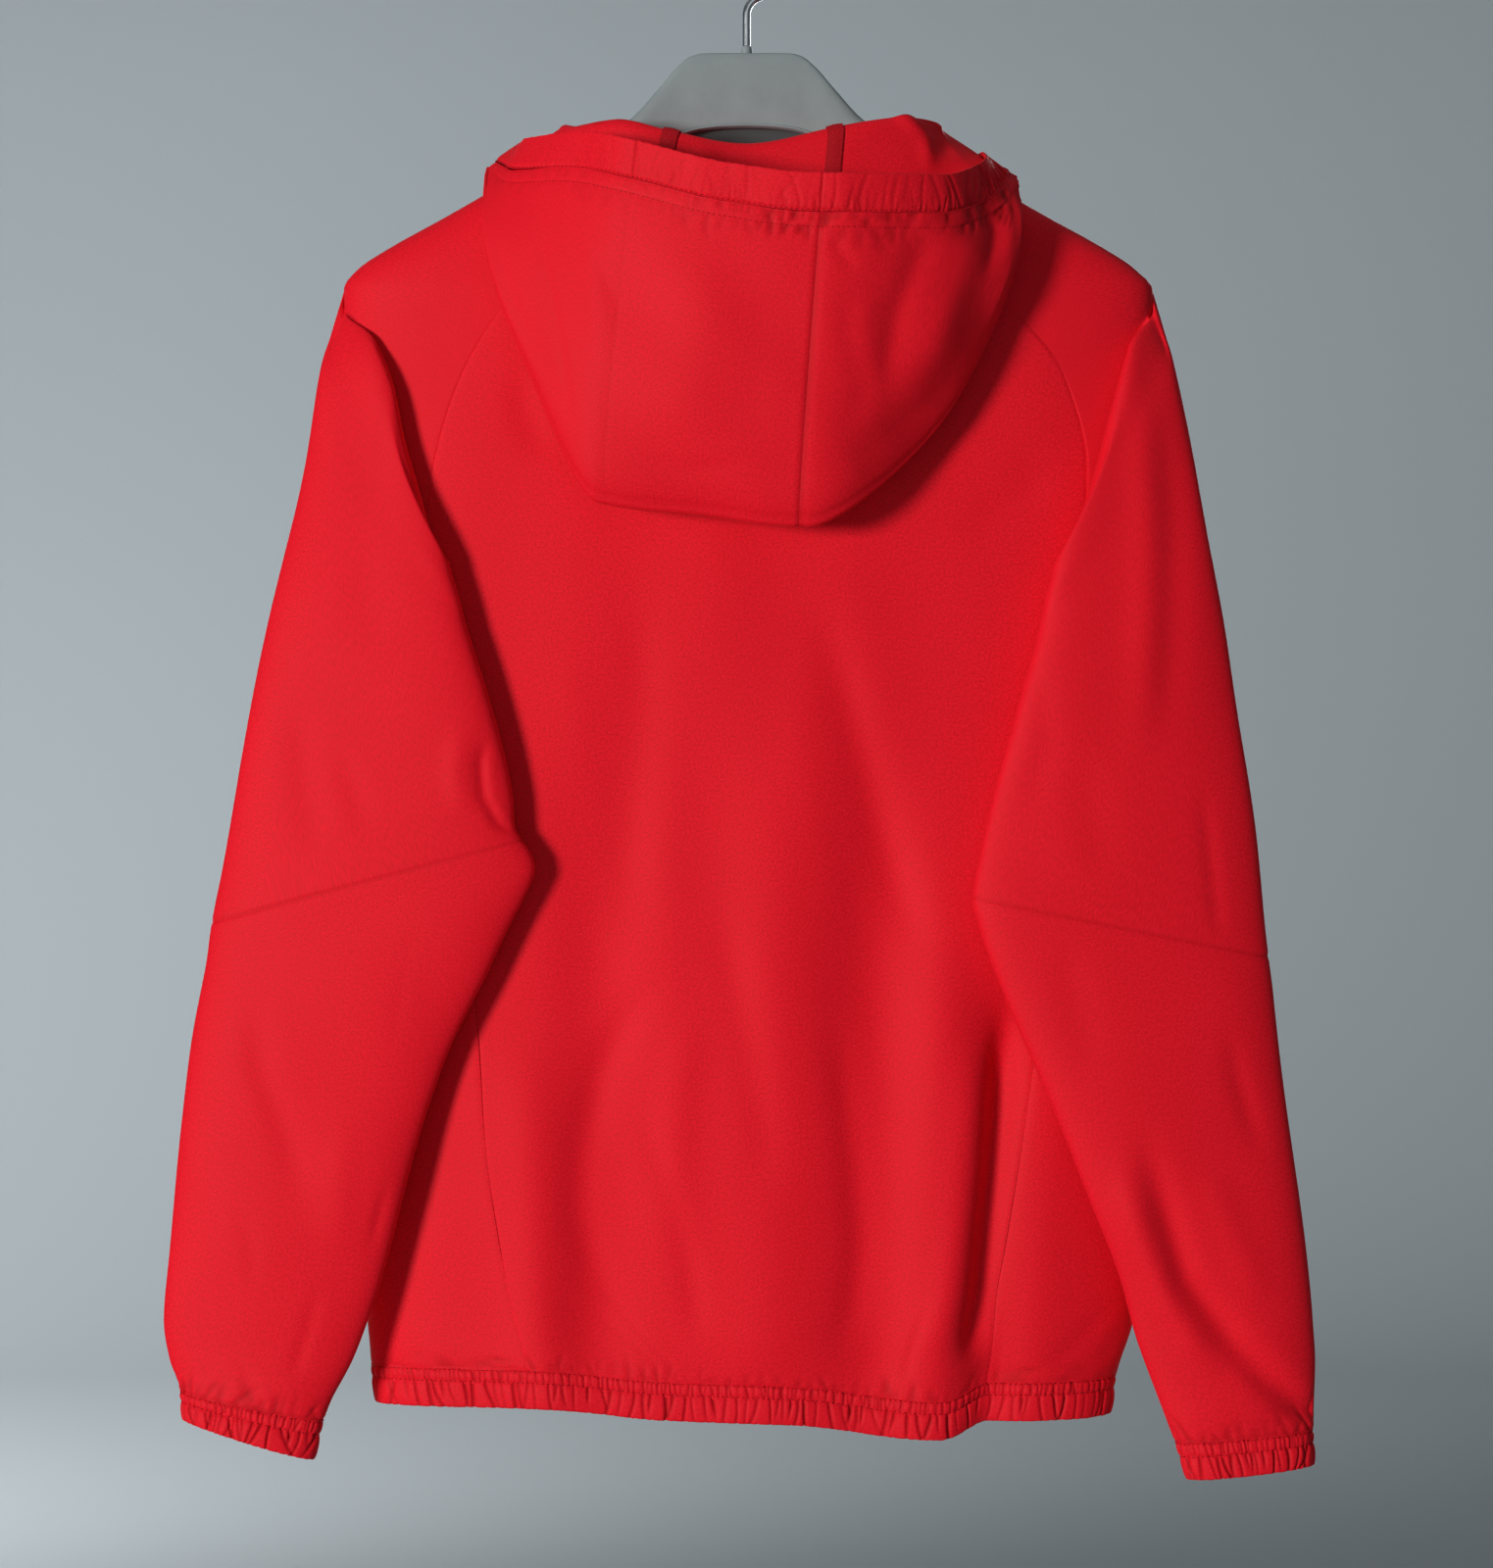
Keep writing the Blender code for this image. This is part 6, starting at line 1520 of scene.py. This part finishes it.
def make_zip_tape(side, word):
    heights = np.linspace(0, 1, 170)
    grid = read_grid(zip_tape(side), np.linspace(0, 1, 9), heights)
    normals = facing(grid, (0, 1, 0))
    run, fall = both_ways(grid)
    out = np.zeros_like(run)
    out[:, :2] += BEAD
    made = dress("zip_tape_" + word, grid, normals, out, run, fall, TAPE_CLOTH, wall=TAPE_WALL)[0]
    work = bmesh.new()
    foot, top = HEM_FRONT - HEM_BAND_HEIGHT + TEETH_SHORT, SLIDER_HEIGHT - TEETH_SHORT
    offset = 0.0 if side < 0 else TOOTH_PITCH / 2
    for height in np.arange(foot + offset, top, TOOTH_PITCH):
        depth = float(tape_y(np.array([height]))[0])
        size = Matrix.Diagonal((*TOOTH_SIZE, 1))
        place = Matrix.Translation((side * TOOTH_OUT, depth, height))
        bmesh.ops.create_cube(work, size=1, matrix=place @ size)
    bmesh.ops.bevel(work, geom=list(work.edges), offset=TOOTH_ROUNDING, offset_type="OFFSET", segments=1, profile=0.5,
                    affect="EDGES", material=-1)
    name = "zip_teeth_" + word
    fastened(placed(name, mesh_of(name, work, smooth=False), TEETH_PLASTIC))
    return made


def rounded_copy(node_name, body):
    """A packed metal part of the zip again with its edges rounded."""
    work = bmesh.new()
    work.from_mesh(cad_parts[node_name].data)
    bmesh.ops.remove_doubles(work, verts=work.verts, dist=1e-6)
    bmesh.ops.dissolve_limit(work, angle_limit=radians(1), verts=work.verts, edges=work.edges)
    bmesh.ops.recalc_face_normals(work, faces=work.faces)
    name = "rounded_" + node_name
    made = placed(name, mesh_of(name, work, smooth=False), ZIP_METAL)
    round_edges(made, METAL_ROUNDING, 2)
    return fastened(made, node_name, body)


# --------------------------------------------------------------------- hanger

HANGER_COLUMNS, HANGER_ROUND, TIP_CROWDING = 240, 48, 0.94
# The flat middle of the hanger: where it ends, how soft that end is, its oval, and how thin it is between its rims
PLATE_END, PLATE_SOFT, PLATE_OVAL, PLATE_THIN = 0.075, 0.05, 5.0, 0.80
HANGER_ROUNDING = 0.0006
# The inner wall below the arch, coloured near black as painted shade for the shadowed hollow: half its width, how far
# it comes down, its depth, how far it starts above the rim
WALL_HALF, WALL_DOWN, WALL_Y, WALL_UP, WALL_THICK = 0.040, 0.0125, 0.0042, 0.0015, 0.0012
# Rims along the arch: half their width, how far out and up they lie, how thick they are
RIM_HALF, RIM_OUT, RIM_UP, RIM_RADIUS = 0.060, 0.86, 0.0011, 0.0007


def make_hanger():
    reach = HANGER[-1].out
    work = bmesh.new()
    bmesh.ops.create_grid(work, x_segments=HANGER_COLUMNS, y_segments=HANGER_ROUND, size=0.5)
    crowded = np.sin(np.linspace(-pi / 2, pi / 2, HANGER_COLUMNS + 1) * TIP_CROWDING) / sin(pi / 2 * TIP_CROWDING)
    grid_x = crowded * reach
    rows = curve(HANGER, np.abs(grid_x))
    for vertex in work.verts:
        column = round((vertex.co.x + 0.5) * HANGER_COLUMNS)
        angle = 2 * pi * (round((vertex.co.y + 0.5) * HANGER_ROUND) % HANGER_ROUND) / HANGER_ROUND
        top, bottom, half = rows[column]
        plate = ease((PLATE_END - abs(grid_x[column])) / PLATE_SOFT)
        power = 2 / mix(HANGER_OVAL, PLATE_OVAL, plate)
        rise, thick = squared(cos(angle), power), squared(sin(angle), power)
        thin = mix(1.0, PLATE_THIN, plate * (1 - abs(rise) ** 6))
        vertex.co = (grid_x[column], half * thick * thin, (top + bottom) / 2 + (top - bottom) / 2 * rise)
    bmesh.ops.remove_doubles(work, verts=work.verts, dist=1e-6)
    bmesh.ops.holes_fill(work, edges=[edge for edge in work.edges if edge.is_boundary])
    bmesh.ops.recalc_face_normals(work, faces=work.faces)
    boss = Matrix.Translation((0, 0, HANGER[0].top + (BOSS_HEIGHT - BOSS_ROOT) / 2))
    bmesh.ops.create_cone(work, cap_ends=True, segments=40, radius1=BOSS_RADIUS, radius2=BOSS_RADIUS * 0.9,
                          depth=BOSS_HEIGHT + BOSS_ROOT, matrix=boss)
    made = placed("hanger_plate", mesh_of("hanger_plate", work), GREY_PLASTIC)
    round_edges(made, HANGER_ROUNDING, 3).angle_limit = radians(50)
    return fastened(made, "hanger_body")


def make_hanger_inside():
    """The far wall of the hollow hanger, seen below the rim of its arch; a near-black sheet of painted shade for the
    shadow inside the hollow.
    """
    x = np.linspace(-WALL_HALF, WALL_HALF, 61)
    bottom = curve(HANGER, np.abs(x))[:, 1]
    reach = WALL_DOWN * (1 - (x / (WALL_HALF + 0.0001)) ** 2)
    points = np.array([np.stack([x, np.full_like(x, WALL_Y), bottom + WALL_UP - part * reach], 1)
                       for part in np.linspace(0, 1, 4)])
    run, fall = both_ways(points)
    made = sew("hanger_inside", points, (1, 30, (0, -1, 0)), run, fall, np.zeros_like(run), SHADED_PLASTIC,
               wall=WALL_THICK)
    fastened(made)


def wire(name, points, radius, finish, resolution, stands_for=None):
    data = bpy.data.curves.new(name, "CURVE")
    data.dimensions = "3D"
    data.bevel_depth = radius
    data.bevel_resolution = resolution
    data.use_fill_caps = True
    spline = data.splines.new("POLY")
    spline.points.add(len(points) - 1)
    for point, place in zip(spline.points, points):
        point.co = (*place, 1)
    spline.use_smooth = True
    return fastened(placed(name, data, finish), stands_for)


def make_hook():
    wire("steel_hook", hook_line(), WIRE, CHROME, 8, "hanger_hook")
    x = np.linspace(-RIM_HALF, RIM_HALF, 60)
    _, bottom, half = curve(HANGER, np.abs(x)).T
    for side, word in ((-1, "back"), (1, "front")):
        rim = [(place, side * thickness * RIM_OUT, low + RIM_UP) for place, low, thickness in zip(x, bottom, half)]
        wire(f"hanger_rim_{word}", rim, RIM_RADIUS, GREY_PLASTIC, 3)


def hook_line():
    """Stem, bend and crook again, on many more points."""
    turn = acos(BEND_RADIUS / (BEND_RADIUS + CROOK_RADIUS))
    crook_z = STEM_TOP + sqrt((BEND_RADIUS + CROOK_RADIUS) ** 2 - BEND_RADIUS**2)
    foot = HANGER[0].top + BOSS_HEIGHT + SEAM_GAP
    stem = [(0, 0, height) for height in np.linspace(foot, STEM_TOP, 8)[:-1]]
    bend = [(BEND_RADIUS * (1 - cos(a)), 0, STEM_TOP + BEND_RADIUS * sin(a)) for a in np.linspace(0, turn, 20)]
    crook = [(CROOK_RADIUS * cos(a), 0, crook_z + CROOK_RADIUS * sin(a))
             for a in np.linspace(-turn, CROOK_END, 110)[1:]]
    return stem + bend + crook


# -------------------------------------------------------------- studio, camera

# Floor height, how far out the floor is flat, and how wide it sweeps up to the wall
FLOOR, FLAT_TO, SWEEP = -1.45, 4.4, 2.6
STUDIO_PAINT = (0.42, 0.465, 0.487)
MIDDLE = (0, 0, -0.45)
CAMERA_AT = (0, -2.2, -0.474)
LENS, SENSOR, FAR_END = 90, 36, 50
# Lamps: where they stand, what they aim at, size, watts, tint and how wide they spread in degrees
LAMPS = {
    "key": ((-3.6, -4.4, -0.30), MIDDLE, 1.3, 92, (1.0, 0.99, 0.98), 110),
    "fill": ((0.3, -3.4, 0.1), MIDDLE, 2.4, 7, (0.96, 0.98, 1.0), 180),
    "behind": ((0.9, 3.2, 0.0), MIDDLE, 1.6, 14, (0.97, 0.98, 1.0), 80),
    "overhead": ((0, -0.2, 3.0), MIDDLE, 2.4, 6, (1, 1, 1), 180),
    "backdrop": ((-1.8, 1.6, 0.1), (-1.7, 7, -0.9), 2.0, 80, (1, 1, 1), 120),
}
ROOM_TINT, ROOM_STRENGTH = (0.86, 0.91, 0.95, 1), 0.18


def make_studio():
    """A shallow bowl round the object, so that floor and background are one pale sweep from every side."""
    work = bmesh.new()
    profile = [(0.0, FLOOR), (2.0, FLOOR), (FLAT_TO, FLOOR)]
    profile += [(FLAT_TO + SWEEP * sin(a), FLOOR + SWEEP * (1 - cos(a))) for a in np.linspace(0, pi / 2, 24)[1:]]
    profile += [(FLAT_TO + SWEEP, 2.6), (FLAT_TO + SWEEP, 4.5)]
    verts = [work.verts.new((radius, 0, height)) for radius, height in profile]
    for first, second in zip(verts, verts[1:]):
        work.edges.new((first, second))
    bmesh.ops.spin(work, geom=list(work.verts) + list(work.edges), axis=(0, 0, 1), cent=(0, 0, 0), angle=2 * pi,
                   steps=96, use_merge=True)
    bmesh.ops.remove_doubles(work, verts=work.verts, dist=1e-5)
    bmesh.ops.recalc_face_normals(work, faces=work.faces)
    bmesh.ops.reverse_faces(work, faces=work.faces)
    placed("studio_sweep", mesh_of("studio_sweep", work), plain_paint("pale_studio_paint", STUDIO_PAINT))


def make_lights():
    for name, (place, aim, size, power, tint, spread) in LAMPS.items():
        data = bpy.data.lights.new(name, "AREA")
        data.shape = "DISK"
        data.size, data.energy, data.color, data.spread = size, power, tint, radians(spread)
        made = placed(name, data)
        made.location = place
        made.rotation_euler = (Vector(aim) - Vector(place)).to_track_quat("-Z", "Y").to_euler()
    world = bpy.data.worlds.new("soft_room")
    world.use_nodes = True
    sky = world.node_tree.nodes["Background"]
    sky.inputs["Color"].default_value = ROOM_TINT
    sky.inputs["Strength"].default_value = ROOM_STRENGTH
    bpy.context.scene.world = world


def make_camera():
    data = bpy.data.cameras.new("camera")
    data.lens, data.sensor_width, data.clip_end = LENS, SENSOR, FAR_END
    made = placed("camera", data)
    made.location = CAMERA_AT
    made.rotation_euler = (radians(90), 0, 0)
    bpy.context.scene.camera = made


# ------------------------------------------------------------------ the object


def build():
    make_camera()
    make_back()
    for side, word, lower in zip(SIDES, ("left", "right"), (0.082, 0.073)):
        make_front(side, "front_" + word)
        make_upper_sleeve(side, word)
        make_lower_sleeve(side, word)
        make_cuff(side, word)
        make_zip_tape(side, word)
    make_hem()
    for name, first, last, columns, cut in (("hood_left", -1, -HOOD_SEAM, 105, (0.18, 0.44, 0.039)),
                                            ("hood_center", -HOOD_SEAM, HOOD_SEAM, 58, (0.13, 0.42, 0.043)),
                                            ("hood_right", HOOD_SEAM, 1, 112, (0.20, 0.44, 0.050))):
        make_hood_piece(name, first, last, columns)
    make_hood_hem()
    make_hood_seam_tapes()
    rounded_copy("zip_slider", "jacket")
    rounded_copy("zip_pull_tab", "pull_tab")
    make_hanger()
    make_hanger_inside()
    make_hook()
    make_studio()
    make_lights()
    bpy.context.scene.view_settings.view_transform = "Standard"


build()
